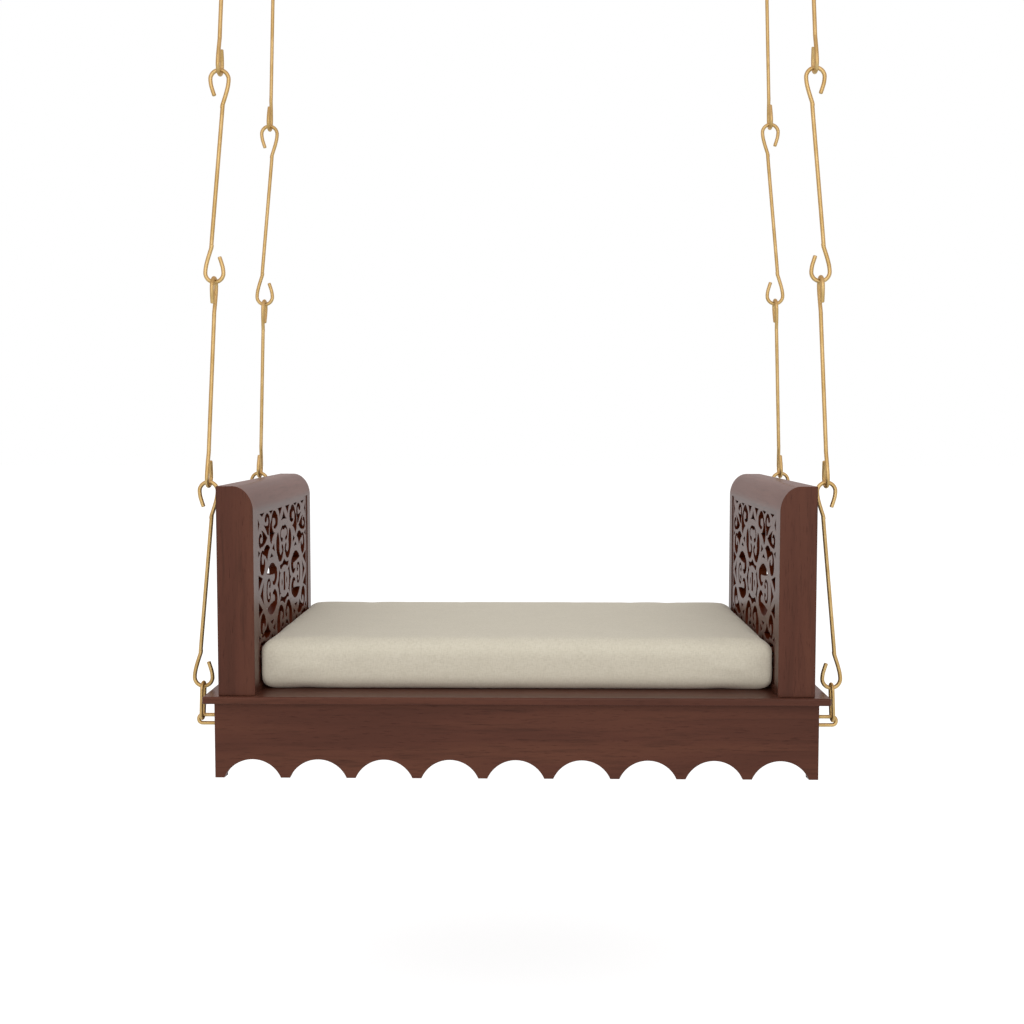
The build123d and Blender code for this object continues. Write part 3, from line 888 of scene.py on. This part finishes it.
# ---- arms ----
@dataclass
class JaliPattern:
    """The lattice's holes, out (first) and up (second) from the panel's centre.

    Corners alternate with the point that the arc to the next corner passes through, or None
    where that edge is straight.
    """

    quarter: dict[str, list] = field(
        default_factory=lambda: {
            "corner leaf above": [(227, 143), None, (186, 143), None, (205, 137), None],
            "corner leaf beside": [(242, 136), None, (242, 115), None, (229, 125), None],
            "upper corner scroll": [
                (184, 130), (166, 140), (141, 133), (137, 123), (145, 112), None, (146, 100), None,
                (160, 102), (175, 113), (194, 122), (169, 118), (154, 118), (150, 126), (162, 132),
                (168, 126),
            ],
            "side corner scroll": [
                (208, 101), (225, 108), (237, 99), (234, 88), (218, 84), (189, 86), (161, 96),
                (187, 107), (214, 114), (204, 106), (202, 95), (214, 90), (226, 96), (221, 100),
            ],
            "side bead": [(242, 80), None, (226, 75), None, (242, 69), None],
            "upper edge leaf": [(142, 143), None, (105, 143), None, (124, 137), None],
            "crown scroll": [
                (124, 82), (139, 97), (124, 124), (103, 140), (71, 133), (60, 120), (73, 110),
                (89, 107), (104, 112), None, (94, 114), (85, 120), (96, 126), (115, 120), (109, 106),
                (99, 101), (88, 100), (108, 94),
            ],
            "crown leaf": [(64, 143), None, (17, 143), (29, 136), (42, 127), (49, 137)],
            "side scroll": [
                (137, 76), (165, 84), (195, 75), (225, 66), (227, 45), (207, 34), (186, 45), (183, 55),
                (192, 61), (198, 53), (211, 56), (212, 66), (196, 68), (179, 65), (164, 55), (155, 67),
            ],
            "heart leaf": [(138, 58), None, (123, 65), None, (107, 58), None],
            "heart bead": [(116, 73), None, (98, 80), None, (93, 66), None],
            "lyre scroll": [
                (58, 98), (78, 75), (66, 55), (38, 41), (11, 54), (7, 63), (15, 70), (23, 71), (25, 66),
                (19, 62), (25, 57), (42, 56), (46, 74), (50, 88),
            ],
            "middle scroll": [
                (169, 31), (127, 47), (85, 37), (72, 24), (80, 11), (97, 4), (114, 8), (117, 11),
                (113, 13), (102, 13), (96, 19), (98, 24), (106, 25), (137, 27),
            ],
            "edge leaf": [(242, 37), None, (206, 28), None, (242, 10), None],
        }
    )
    upper: dict[str, list] = field(
        default_factory=lambda: {
            "keystone": [(33, 118), (17, 122), (0, 135), (-17, 122), (-33, 118), (0, 120)],
            "medallion arch": [
                (0, 106), (-27, 103), (-38, 94), (-36, 85), (-24, 78), (-15, 78), (-12, 82), (-19, 85),
                (-27, 85), (-32, 91), (-29, 97), (-14, 101), (0, 98), (14, 101), (29, 97), (32, 91),
                (27, 85), (19, 85), (12, 82), (15, 78), (24, 78), (36, 85), (38, 94), (27, 103),
            ],
            "crown star": [
                (45, 35), (20, 36), (0, 43), (-20, 36), (-45, 35), (-41, 29), (-30, 26), (0, 31),
                (30, 26), (41, 29),
            ],
        }
    )
    beside: dict[str, list] = field(
        default_factory=lambda: {
            "side dart": [
                (53, 29), (46, 22), (37, 20), (47, 12), (49, 0), (47, -12), (37, -20), (46, -22),
                (53, -29), (57, -12), (70, 0), (57, 12),
            ],
            "key scroll": [
                (173, 0), (169, 14), (155, 21), (139, 17), (135, 9), (140, 4), (148, 6), (150, 8),
                (148, 10), (143, 13), (148, 16), (161, 12), (165, 0), (161, -12), (148, -16),
                (143, -13), (148, -10), (150, -8), (148, -6), (140, -4), (135, -9), (139, -17),
                (155, -21), (169, -14),
            ],
            "side arrow": [(227, 0), None, (195, 21), (203, 0), (195, -21), None],
            "oval bead": [(25, 7), (20, 0), (25, -7), (28, 0)],
        }
    )
    centre: list = field(
        default_factory=lambda: [(9, 17), (0, 18), (-9, 17), (-7, 0), (-9, -17), (0, -18), (9, -17), (7, 0)]
    )
    arc_step: float = 8.0

    def arc(self, start: tuple, through: tuple, stop: tuple) -> np.ndarray:
        """Points from start up to stop on the circle through three points a, b and d.

        The circle's centre c solves 2(b-a).c = |b|^2-|a|^2 and 2(d-a).c = |d|^2-|a|^2.

        Args:
            start: The arc's first point, a.
            through: A point on its way, b.
            stop: Its end, d, which the next run starts with.

        Returns:
            A point for every step of the arc's turn.
        """
        a, b, d = (np.array(p, float) for p in (start, through, stop))
        centre = np.linalg.solve(2 * np.stack([b - a, d - a]), np.array([b @ b - a @ a, d @ d - a @ a]))
        first, middle, last = (math.atan2(*(p - centre)[::-1]) for p in (a, b, d))
        ahead = (last - first) % (2 * math.pi)
        if (middle - first) % (2 * math.pi) > ahead:
            ahead -= 2 * math.pi
        steps = max(2, math.ceil(abs(ahead) / math.radians(self.arc_step)))
        angle = first + ahead * np.arange(steps) / steps
        return centre + np.hypot(*(a - centre)) * np.stack([np.cos(angle), np.sin(angle)], axis=1)

    def outline(self, motif: list) -> Outline:
        """Join a motif's straight runs and arcs.

        Args:
            motif: Its corners, each followed by the point that its arc passes through, or None.

        Returns:
            The hole's closed outline.
        """
        corners = motif[0::2]
        runs = []
        for corner, through, after in zip(corners, motif[1::2], corners[1:] + corners[:1]):
            runs.append(np.array([corner], float) if through is None else self.arc(corner, through, after))
        return np.concatenate(runs)

    def holes(self) -> list[Outline]:
        """Mirror the quarter's motifs both ways and the others one way.

        Returns:
            Every hole's outline.
        """
        found = [self.outline(self.centre)]
        groups = [
            (self.quarter, [(1, 1), (-1, 1), (1, -1), (-1, -1)]),
            (self.upper, [(1, 1), (1, -1)]),
            (self.beside, [(1, 1), (-1, 1)]),
        ]
        for motifs, signs in groups:
            for motif in motifs.values():
                base = self.outline(motif)
                found += [base * np.array(sign) for sign in signs]
        return found


@dataclass
class SwingArm:
    """One arm: two posts, a rounded top rail, a bottom rail and a pierced panel between them."""

    finishes: Finishes
    side: int
    hand: str
    outer_x: float = 508.0
    inner_x: float = 445.0
    bottom: float = 143.5
    top: float = 501.5
    end_y: float = 293.0
    post_inner_y: float = 258.0
    rail_height: float = 44.0
    round_width: float = 35.0
    round_points: int = 33
    low_rail: float = 12.0
    low_rail_ease: float = 1.0
    panel_recess: float = 2.0
    panel_thickness: float = 15.0
    panel_chamfer: float = 0.5
    ease: float = 1.2
    ease_steps: int = 3

    def section(self, bottom: float) -> Outline:
        """The arm's outline seen along the seat's depth, its inner top corner a quarter ellipse.

        With w and h its width and height, the ellipse's points are (inner x + w(1 - cos a),
        top - h(1 - sin a)), with a from 0 to 90 degrees. The left arm mirrors the right one.

        Args:
            bottom: How far down the outline goes.

        Returns:
            The closed outline.
        """
        turn = np.linspace(0.0, math.pi / 2, self.round_points)
        x = self.inner_x + self.round_width * (1 - np.cos(turn))
        z = self.top - self.rail_height * (1 - np.sin(turn))
        corners = [
            (self.inner_x + self.round_width, self.top),
            (self.outer_x, self.top),
            (self.outer_x, bottom),
            (self.inner_x, bottom),
        ]
        per_corner = self.ease_steps + 1
        outer = rounded_outline(corners, self.ease, self.ease_steps)[per_corner:-per_corner]
        points = np.concatenate([np.stack([x, z], axis=1), outer, [(self.inner_x, bottom)]])
        return points * np.array([self.side, 1])

    def post(self, end: int, place: str) -> None:
        """One post, its outer end's edges eased and its inner end flat against the rails.

        Args:
            end: -1 for the front post, 1 for the back one.
            place: Front or back.
        """
        front, back = sorted((end * self.end_y, end * self.post_inner_y))
        ease = (self.ease, SEAM) if end < 0 else (SEAM, self.ease)
        shape = prism(self.section(self.bottom), front, back, Plane2D.FRONT_VIEW, ease)
        node = f"{self.hand}_arm_{place}_post"
        self.finishes.fit_board(f"{self.hand}_{place}_post", shape, Grain.UPRIGHT, node)

    def rails(self) -> None:
        """The rounded top rail and the flat bottom rail, each from post to post."""
        low, high = sorted((self.side * self.inner_x, self.side * self.outer_x))
        top = self.bottom + self.low_rail
        corners = [(low, self.bottom), (high, self.bottom), (high, top), (low, top)]
        flat = rounded_outline(corners, self.low_rail_ease, self.ease_steps)
        rounded = self.section(self.top - self.rail_height)
        for name, place, section in (("hand_rail", "top_rail", rounded), ("foot_rail", "bottom_rail", flat)):
            shape = prism(section, -self.post_inner_y, self.post_inner_y, Plane2D.FRONT_VIEW, (SEAM, SEAM))
            node = f"{self.hand}_arm_{place}"
            self.finishes.fit_board(f"{self.hand}_{name}", shape, Grain.FRONT_TO_BACK, node)

    def panel(self) -> None:
        """The pierced panel, its cut edges chamfered."""
        low, high = self.bottom + self.low_rail, self.top - self.rail_height
        middle = np.array([0.0, (low + high) / 2])
        y = self.post_inner_y
        frame = np.array([(-y, low), (y, low), (y, high), (-y, high)])
        holes = [hole + middle for hole in JaliPattern().holes()]
        face = self.inner_x + self.panel_recess
        start, stop = sorted((self.side * face, self.side * (face + self.panel_thickness)))
        shape = pierced_sheet(frame, holes, start, stop, Plane2D.SIDE_VIEW, self.panel_chamfer)
        node = f"{self.hand}_jali_panel"
        self.finishes.fit_board(f"{self.hand}_jali", shape, Grain.FRONT_TO_BACK, node, fretted=True)

    def build(self) -> None:
        """Build the whole arm."""
        self.post(-1, "front")
        self.post(1, "back")
        self.rails()
        self.panel()


# ---- hardware ----
@dataclass
class HookedChain:
    """One chain: an oval ring on the staple, then four rods with an open hook at each end.

    The tip and the neck are the points of a hook's centre line on each side of its loop, out and
    up from the loop's centre.
    """

    brass: bpy.types.Material
    side: int
    end: int
    hand: str
    place: str
    foot_x: float = 553.95
    foot_z: float = 87.95
    staple_y: float = 219.0
    lean: float = 2.36
    wire_width: float = 7.0
    ring_wire: float = 6.0
    ring_width: float = 22.0
    ring_height: float = 64.3
    ring_points: int = 25
    pitch: float = 353.0
    rods: int = 4
    loop_radius: float = 15.7
    loop_turn: tuple[float, float] = (178.0, 2.0)
    loop_points: int = 9
    span_samples: int = 4
    tip: tuple = ((-8.0, -28.0), (-11.2, -19.5), (-14.4, -9.5))
    neck: tuple = ((14.9, -10.0), (12.2, -22.5), (8.7, -35.0), (6.3, -43.5), (5.8, -49.0), (5.8, -60.0))

    def axes(self, along_seat: bool) -> tuple[np.ndarray, np.ndarray, np.ndarray]:
        """The directions that a link is drawn with.

        Args:
            along_seat: Whether the link's hooks open along the seat's length.

        Returns:
            The chain's foot-to-top direction, the link's sideways direction and its plane's normal.
        """
        lean = math.radians(self.lean)
        up = np.array([-self.side * math.sin(lean), 0.0, math.cos(lean)])
        along = np.array([-self.side * math.cos(lean), 0.0, -math.sin(lean)])
        sideways = along if along_seat else np.array([0.0, -float(self.end), 0.0])
        return up, sideways, np.cross(sideways, up)

    def placed(self, flat: np.ndarray, height: float, along_seat: bool) -> tuple[np.ndarray, np.ndarray]:
        """Put a link's flat path in its place on the chain.

        Args:
            flat: The path, sideways and up from the link's middle.
            height: How far up the chain that middle is.
            along_seat: Whether the link's hooks open along the seat's length.

        Returns:
            The path's points and the normal of its plane.
        """
        up, sideways, across = self.axes(along_seat)
        foot = np.array([self.side * self.foot_x, self.end * self.staple_y, self.foot_z])
        return foot + up * (height + flat[:, 1:]) + sideways * flat[:, :1], across

    def fit_link(self, name: str, node: str, shape: Mesh) -> None:
        """Make one link, which rides on this chain in its node's place.

        Args:
            name: The piece's name after the chain's.
            node: The node's name after the chain's.
            shape: Its points and faces.
        """
        chain = f"{self.place}_{self.hand}"
        piece = make_piece(f"{chain}_{name}", shape, self.brass, weighted=False)
        settle(piece, f"chain_{chain}", "brass", f"{chain}_{node}")

    def ring(self) -> None:
        """The ring: two straight sides joined by two half circles."""
        half = self.ring_width / 2
        straight = self.ring_height / 2 - half
        turn = np.linspace(0.0, math.pi, self.ring_points)
        upper = np.stack([half * np.cos(turn), straight + half * np.sin(turn)], axis=1)
        path, across = self.placed(np.concatenate([upper, -upper]), self.ring_height / 2, False)
        self.fit_link("oval_ring", "ring", wire(path, self.ring_wire / 2, across, closed=True))

    def half_rod(self) -> np.ndarray:
        """Trace the upper half of a rod, from its tip over the loop to the shaft.

        Returns:
            The points of its centre line, sideways and up from the rod's middle.
        """
        loop = (self.pitch + self.wire_width) / 2 - self.loop_radius
        turn = np.radians(np.linspace(*self.loop_turn, self.loop_points))
        arc = self.loop_radius * np.stack([np.cos(turn), np.sin(turn)], axis=1)
        return np.concatenate([self.tip, arc, self.neck]) + np.array([0.0, loop])

    def rod(self, number: int) -> None:
        """One rod; neighbouring rods stand at right angles.

        Args:
            number: 1 for the lowest.
        """
        upper = self.half_rod()
        flat = smooth_path(np.concatenate([upper, -upper[::-1]]), self.span_samples)
        height = self.ring_height - self.ring_wire / 2 + self.pitch * (number - 0.5)
        path, across = self.placed(flat, height, number % 2 == 1)
        self.fit_link(f"link_{number}", f"rod_{number}", wire(path, self.wire_width / 2, across))

    def build(self) -> None:
        """Build the ring and the rods."""
        self.ring()
        for number in range(1, self.rods + 1):
            self.rod(number)


@dataclass
class SeatStaples:
    """The four staples through the side aprons, with a square nut on each leg inside."""

    brass: bpy.types.Material
    nodes: dict[str, bpy.types.Object]
    bend_x: float = 560.5
    foot_x: float = 491.0
    staple_y: float = 219.0
    upper_z: float = 94.5
    pitch: float = 14.6
    round: float = 6.8
    bend_points: int = 18
    wire_width: float = 6.5

    def build(self) -> None:
        """Build the staples, each two legs joined by a rounded bend, and finish the nuts."""
        half = self.pitch / 2
        turn = np.linspace(math.pi / 2, -math.pi / 2, self.bend_points)
        bend = np.stack([self.bend_x - self.round * (1 - np.cos(turn)), self.round * np.sin(turn)], axis=1)
        bend[:, 1] += np.sign(bend[:, 1]) * (half - self.round)
        flat = np.concatenate([[(self.foot_x, half)], bend, [(self.foot_x, -half)]])
        across = np.array([0.0, 1.0, 0.0])
        shapes = []
        for side, end in ((-1, -1), (-1, 1), (1, -1), (1, 1)):
            y = np.full(len(flat), end * self.staple_y)
            path = np.stack([side * flat[:, 0], y, flat[:, 1] + self.upper_z - half], axis=1)
            shapes.append(wire(path, self.wire_width / 2, across))
        piece = make_piece("seat_staples", joined(shapes), self.brass, weighted=False)
        settle(piece, "seat", "brass", "staples")
        dress(self.nodes["staple_nuts"], self.brass)


@dataclass
class CeilingHangers:
    """The four bolted ceiling plates, each with two cheeks and a round bar for a chain's top hook."""

    brass: bpy.types.Material
    bar_x: float = 493.5005
    bar_y: float = 219.0
    bar_z: float = 1554.7049
    bar_width: float = 10.0
    bar_rings: int = 6
    bar_sides: int = 32
    gap: float = 26.0
    drop: float = 30.0
    chin: float = 11.0
    cheek_thickness: float = 5.0
    cheek_width: float = 26.0
    cheek_ease: float = 0.8
    cheek_points: int = 25
    cheek_steps: int = 2
    plate: tuple[float, float, float] = (110.0, 50.0, 6.0)
    plate_corner: float = 4.0
    plate_chamfer: float = 0.5
    plate_steps: int = 5
    hole_width: float = 10.5
    hole_spacing: float = 80.0
    hole_points: int = 40

    def cheek(self, x: float, y: float, side: int) -> Mesh:
        """One cheek: a strip with a half-round lower end, carried along X.

        Args:
            x: The bar's middle along the seat.
            y: The bar's place along the seat's depth.
            side: -1 for the cheek on its left, 1 for the one on its right.

        Returns:
            The points and faces of the closed strip.
        """
        half = self.cheek_width / 2
        turn = np.linspace(math.pi, 2 * math.pi, self.cheek_points)
        low = self.bar_z - self.chin + half
        arc = np.stack([y + half * np.cos(turn), low + half * np.sin(turn)], axis=1)
        top = np.array([(y + half, self.bar_z + self.drop), (y - half, self.bar_z + self.drop)])
        inner = x + side * self.gap / 2
        start, stop = sorted((inner, inner + side * self.cheek_thickness))
        ease = (self.cheek_ease, self.cheek_ease)
        return prism(np.concatenate([arc, top]), start, stop, Plane2D.SIDE_VIEW, ease, self.cheek_steps)

    def build(self) -> None:
        """Build the plates and the hangers under them."""
        plates, hangers = [], []
        turn = np.linspace(0.0, 2 * math.pi, self.hole_points, endpoint=False)
        bore = self.hole_width / 2 * np.stack([np.cos(turn), np.sin(turn)], axis=1)
        across, deep, thick = self.plate
        top = self.bar_z + self.drop
        rings = self.bar_rings
        for sx, sy in ((-1, -1), (-1, 1), (1, -1), (1, 1)):
            x, y = sx * self.bar_x, sy * self.bar_y
            near, far = (x - across / 2, y - deep / 2), (x + across / 2, y + deep / 2)
            corners = [near, (far[0], near[1]), far, (near[0], far[1])]
            outline = rounded_outline(corners, self.plate_corner, self.plate_steps)
            holes = [bore + np.array([x + a * self.hole_spacing / 2, y]) for a in (-1, 1)]
            plates.append(pierced_sheet(outline, holes, top, top + thick, Plane2D.PLAN, self.plate_chamfer))
            hangers += [self.cheek(x, y, side) for side in (-1, 1)]
            reach = np.linspace(x - self.gap / 2, x + self.gap / 2, rings)
            bar = np.stack([reach, np.full(rings, y), np.full(rings, self.bar_z)], axis=1)
            hangers.append(wire(bar, self.bar_width / 2, np.array([0.0, 0.0, 1.0]), self.bar_sides))
        for name, shapes, node in (
            ("hanger_plates", plates, "ceiling_plates"),
            ("hanger_cheeks", hangers, "ceiling_eyes"),
        ):
            piece = make_piece(name, joined(shapes), self.brass, weighted=False)
            settle(piece, "ceiling", "plate", node)


# ---- cushion ----
@dataclass
class BoxCushion:
    """The loose foam box cushion in its tight linen cover.

    The presses are how far the cover would reach into the arms and the board if they gave way,
    the gaps how far it stays off them. Pressure and stiffness are in the cloth solver's units.
    """

    linen: bpy.types.Material
    half_width: float = 444.5
    front: float = -245.5
    back: float = 289.5
    bottom: float = 143.5
    top: float = 229.5
    shrink: float = 1.0
    foot_shrink: float = 0.4
    edge: float = 24.0
    grid: int = 41
    corner_reach: float = 24.0
    squareness: float = 4.0
    crown: float = 4.0
    end_press: float = 5.0
    board_press: float = 4.0
    arm_gap: float = 0.1
    board_gap: float = 0.3
    voxel: float = 6.0
    merged: float = 0.01
    pressure: float = 4.0
    tension: float = 25.0
    compression: float = 20.0
    bending: float = 4.0
    frames: int = 18
    give: float = 0.4
    swell_cap: float = 4.0
    fill: float = 0.9

    def block(self) -> Mesh:
        """The foam before its cover is pulled on: a box with every edge rounded.

        A point of a box's surface grid is clamped into the box drawn in by the edge radius r,
        and pushed from there by r along the line to the point.

        Returns:
            The points and faces of its six sides, not yet joined.
        """
        drawn_in = [self.shrink, self.shrink, self.foot_shrink]
        low = np.array([-self.half_width, self.front, self.bottom]) + drawn_in
        high = np.array([self.half_width, self.back, self.top]) - self.shrink
        centre, half = (low + high) / 2, (high - low) / 2
        spread = np.sin(np.linspace(-math.pi / 2, math.pi / 2, self.grid))
        u, v = np.meshgrid(spread, spread, indexing="ij")
        number = np.arange(self.grid**2).reshape(self.grid, self.grid)
        corners = (number[:-1, :-1], number[1:, :-1], number[1:, 1:], number[:-1, 1:])
        quads = [tuple(quad) for quad in np.stack(corners, axis=-1).reshape(-1, 4).tolist()]
        meshes = []
        for axis in range(3):
            for sign in (-1.0, 1.0):
                cube = np.empty((*u.shape, 3))
                cube[..., axis] = sign
                cube[..., (axis + 1) % 3] = u
                cube[..., (axis + 2) % 3] = v
                surface = cube * half
                core = np.clip(surface, -half + self.edge, half - self.edge)
                away = surface - core
                away /= np.maximum(np.linalg.norm(away, axis=-1), TINY)[..., None]
                meshes.append(((core + away * self.edge + centre).reshape(-1, 3), quads))
        return joined(meshes)

    def plump(self, piece: bpy.types.Object) -> None:
        """Fill the cover by cloth simulation under light pressure.

        The foam lets the cover follow the pressure by part of its way, and by no more than
        the cap.

        Args:
            piece: The cushion, whose mesh is changed.
        """
        rest = points_of(piece.data)
        cloth = piece.modifiers.new("cover", "CLOTH")
        cloth.settings.use_pressure = True
        cloth.settings.uniform_pressure_force = self.pressure
        cloth.settings.effector_weights.gravity = 0.0
        cloth.settings.tension_stiffness = self.tension
        cloth.settings.compression_stiffness = self.compression
        cloth.settings.bending_stiffness = self.bending
        scene = bpy.context.scene
        for frame in range(1, self.frames + 1):
            scene.frame_set(frame)
        filled = piece.evaluated_get(bpy.context.evaluated_depsgraph_get())
        moved = points_of(filled.to_mesh())
        filled.to_mesh_clear()
        piece.modifiers.remove(cloth)
        scene.frame_set(1)
        step = self.give * (moved - rest)
        length = np.maximum(np.linalg.norm(step, axis=1), TINY)
        move_points(piece.data, rest + step * (np.minimum(length, self.swell_cap * MM) / length)[:, None])

    def squared(self, points: np.ndarray) -> np.ndarray:
        """Fill out the four upright corners, as stiff foam does.

        Seen from above, a point near a corner lies at (a, b) from the box drawn in by the reach.
        It moves out along that line until the p-th root of a^p + b^p equals the line's old length.

        Args:
            points: The cover's points in metres.

        Returns:
            The moved points.
        """
        reach = self.corner_reach * MM
        away = points - np.clip(points, points.min(axis=0) + reach, points.max(axis=0) - reach)
        a, b = np.abs(away[:, :2]).T
        near = (a > 0) & (b > 0)
        p = self.squareness
        growth = np.ones(len(points))
        growth[near] = (np.hypot(a, b) / (a**p + b**p + TINY**p) ** (1 / p))[near]
        moved = points.copy()
        moved[:, :2] += away[:, :2] * (growth - 1)[:, None]
        return moved

    def keep_clear(self, mesh: bpy.types.Mesh) -> None:
        """Stretch the cover to the cushion's size, and press it flat on the board and the arms.

        Args:
            mesh: The cushion's mesh, which is changed.
        """
        points = self.squared(points_of(mesh))
        low, high = points.min(axis=0), points.max(axis=0)
        reach = self.half_width + self.end_press
        wanted_low = np.array([-reach, self.front, self.bottom - self.board_press]) * MM
        wanted_high = np.array([reach, self.back, self.top + self.crown]) * MM
        points = wanted_low + (points - low) / (high - low) * (wanted_high - wanted_low)
        end = (self.half_width - self.arm_gap) * MM
        points[:, 0] = np.clip(points[:, 0], -end, end)
        points[:, 2] = np.maximum(points[:, 2], (self.bottom + self.board_gap) * MM)
        move_points(mesh, points)

    def build(self) -> None:
        """Build, remesh, fill and settle the cushion."""
        piece = make_piece("linen_cushion", self.block(), self.linen, sharp=180.0, weighted=False)
        outward(piece.data, self.merged * MM)
        even = piece.modifiers.new("even", "REMESH")
        even.mode = "VOXEL"
        even.voxel_size = self.voxel * MM
        even.use_smooth_shade = True
        bpy.context.view_layer.objects.active = piece
        bpy.ops.object.modifier_apply(modifier=even.name)
        self.plump(piece)
        self.keep_clear(piece.data)
        smooth = piece.modifiers.new("smooth", "SUBSURF")
        smooth.levels = smooth.render_levels = 1
        settle(piece, "cushion", "linen", "seat_cushion")


# ---- room ----
@dataclass
class PaleStudio:
    """The camera, a white floor and backdrop, and soft light.

    Places and lengths are in metres here, and the camera's lens and sensor in millimetres.
    """

    camera_place: tuple[float, float, float] = (0.0298, -2.5652, 0.6067)
    camera_turn: tuple[float, float, float] = (86.264, 0.0, 0.911)
    lens_mm: float = 47.46
    sensor_mm: float = 36.0
    floor_z: float = -0.42
    floor_reach: float = 30.0
    floor_glow: float = 0.67
    floor_paint: str = "#cfcfcf"
    fill_below: float = 0.3
    fill_above: float = 0.8
    gloss: float = 0.66
    gloss_tinge: str = "#fbe8e4"
    key_watts: float = 47.0
    key_size: float = 2.6
    key_place: tuple[float, float, float] = (0.1, -3.6, 1.5)
    key_aim: tuple[float, float, float] = (0.0, 0.0, 0.25)

    def camera(self) -> None:
        """The camera, in front of the seat and a little above the arms, looking slightly down."""
        data = bpy.data.cameras.new("camera")
        data.sensor_width = self.sensor_mm
        data.lens = self.lens_mm
        camera = bpy.data.objects.new("camera", data)
        camera.location = self.camera_place
        camera.rotation_euler = [math.radians(turn) for turn in self.camera_turn]
        bpy.context.scene.collection.objects.link(camera)
        bpy.context.scene.camera = camera

    def pale_rays(self, tree: bpy.types.NodeTree) -> Socket:
        """How white the room is to a ray.

        Args:
            tree: The nodes of the world or the floor.

        Returns:
            One for the camera's rays, the gloss strength for mirrored and transmitted ones, and
            nothing for the rest.
        """
        path = add_node(tree, "ShaderNodeLightPath").outputs
        kinds = {0: path["Is Glossy Ray"], 1: path["Is Transmission Ray"]}
        shiny = add_node(tree, "ShaderNodeMath", {"operation": "MAXIMUM"}, kinds).outputs["Value"]
        soft = add_node(tree, "ShaderNodeMath", {"operation": "MULTIPLY", 1: self.gloss}, {0: shiny})
        kinds = {0: path["Is Camera Ray"], 1: soft.outputs["Value"]}
        return add_node(tree, "ShaderNodeMath", {"operation": "MAXIMUM"}, kinds).outputs["Value"]

    def world(self) -> None:
        """White to the camera, warmer to gloss, and a soft fill, stronger from above, for the rest."""
        world = bpy.data.worlds.new("pale room")
        bpy.context.scene.world = world
        world.use_nodes = True
        tree = world.node_tree
        tree.nodes.clear()
        place = add_node(tree, "ShaderNodeTexCoord")
        parts = add_node(tree, "ShaderNodeSeparateXYZ", {}, {"Vector": place.outputs["Generated"]})
        rise = {"From Min": -1.0, "To Min": self.fill_below, "To Max": self.fill_above}
        fill = add_node(tree, "ShaderNodeMapRange", rise, {"Value": parts.outputs["Z"]}).outputs["Result"]
        white = {"Value": self.pale_rays(tree), "To Min": fill}
        strength = add_node(tree, "ShaderNodeMapRange", {"To Max": 1.0}, white).outputs["Result"]
        path = add_node(tree, "ShaderNodeLightPath")
        colours = {"data_type": "RGBA", UNDER: WHITE, OVER: linear(self.gloss_tinge)}
        tinge = add_node(tree, "ShaderNodeMix", colours, {SHARE: path.outputs["Is Glossy Ray"]})
        glow = {"Color": tinge.outputs[MIXED], "Strength": strength}
        light = add_node(tree, "ShaderNodeBackground", {}, glow)
        add_node(tree, "ShaderNodeOutputWorld", {}, {"Surface": light.outputs["Background"]})

    def floor(self) -> None:
        """A wide white floor that still takes the swing's shadow."""
        material = blank_material("white floor")
        tree = material.node_tree
        rays = {"Value": self.pale_rays(tree)}
        lift = add_node(tree, "ShaderNodeMapRange", {"To Max": self.floor_glow}, rays).outputs["Result"]
        paint = add_node(tree, "ShaderNodeBsdfDiffuse", {"Color": linear(self.floor_paint)}).outputs["BSDF"]
        glow = add_node(tree, "ShaderNodeEmission", {"Color": WHITE}, {"Strength": lift}).outputs["Emission"]
        total = add_node(tree, "ShaderNodeAddShader", {}, {0: paint, 1: glow})
        add_node(tree, "ShaderNodeOutputMaterial", {}, {"Surface": total.outputs["Shader"]})
        mesh = bpy.data.meshes.new("floor")
        reach, z = self.floor_reach, self.floor_z
        corners = [(-reach, -reach, z), (reach, -reach, z), (reach, reach, z), (-reach, reach, z)]
        mesh.from_pydata(corners, [], [(0, 1, 2, 3)])
        mesh.materials.append(material)
        floor = bpy.data.objects.new("floor", mesh)
        bpy.context.scene.collection.objects.link(floor)

    def key(self) -> None:
        """A large soft lamp in front of the seat and above it."""
        lamp = bpy.data.lights.new("soft key", "AREA")
        lamp.shape = "SQUARE"
        lamp.size = self.key_size
        lamp.energy = self.key_watts
        key = bpy.data.objects.new("soft key", lamp)
        key.location = self.key_place
        key.rotation_euler = (Vector(self.key_aim) - key.location).to_track_quat("-Z", "Y").to_euler()
        bpy.context.scene.collection.objects.link(key)

    def build(self) -> None:
        """Set up the room."""
        self.world()
        self.floor()
        self.key()
        bpy.context.scene.view_settings.view_transform = "Standard"


def main() -> None:
    """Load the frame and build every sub-assembly."""
    logging.basicConfig(level=logging.INFO, format="%(name)s: %(message)s")
    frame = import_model()
    nodes = frame["nodes"]
    studio = PaleStudio()
    studio.camera()
    finishes = Finishes()
    SeatDeck(finishes, nodes).build()
    for side, hand in ((-1, "left"), (1, "right")):
        SwingArm(finishes, side, hand).build()
        for end, place in ((-1, "front"), (1, "back")):
            HookedChain(finishes.brass, side, end, hand, place).build()
    SeatStaples(finishes.brass, nodes).build()
    CeilingHangers(finishes.brass).build()
    BoxCushion(finishes.linen).build()
    studio.build()


if __name__ == "__main__":
    main()
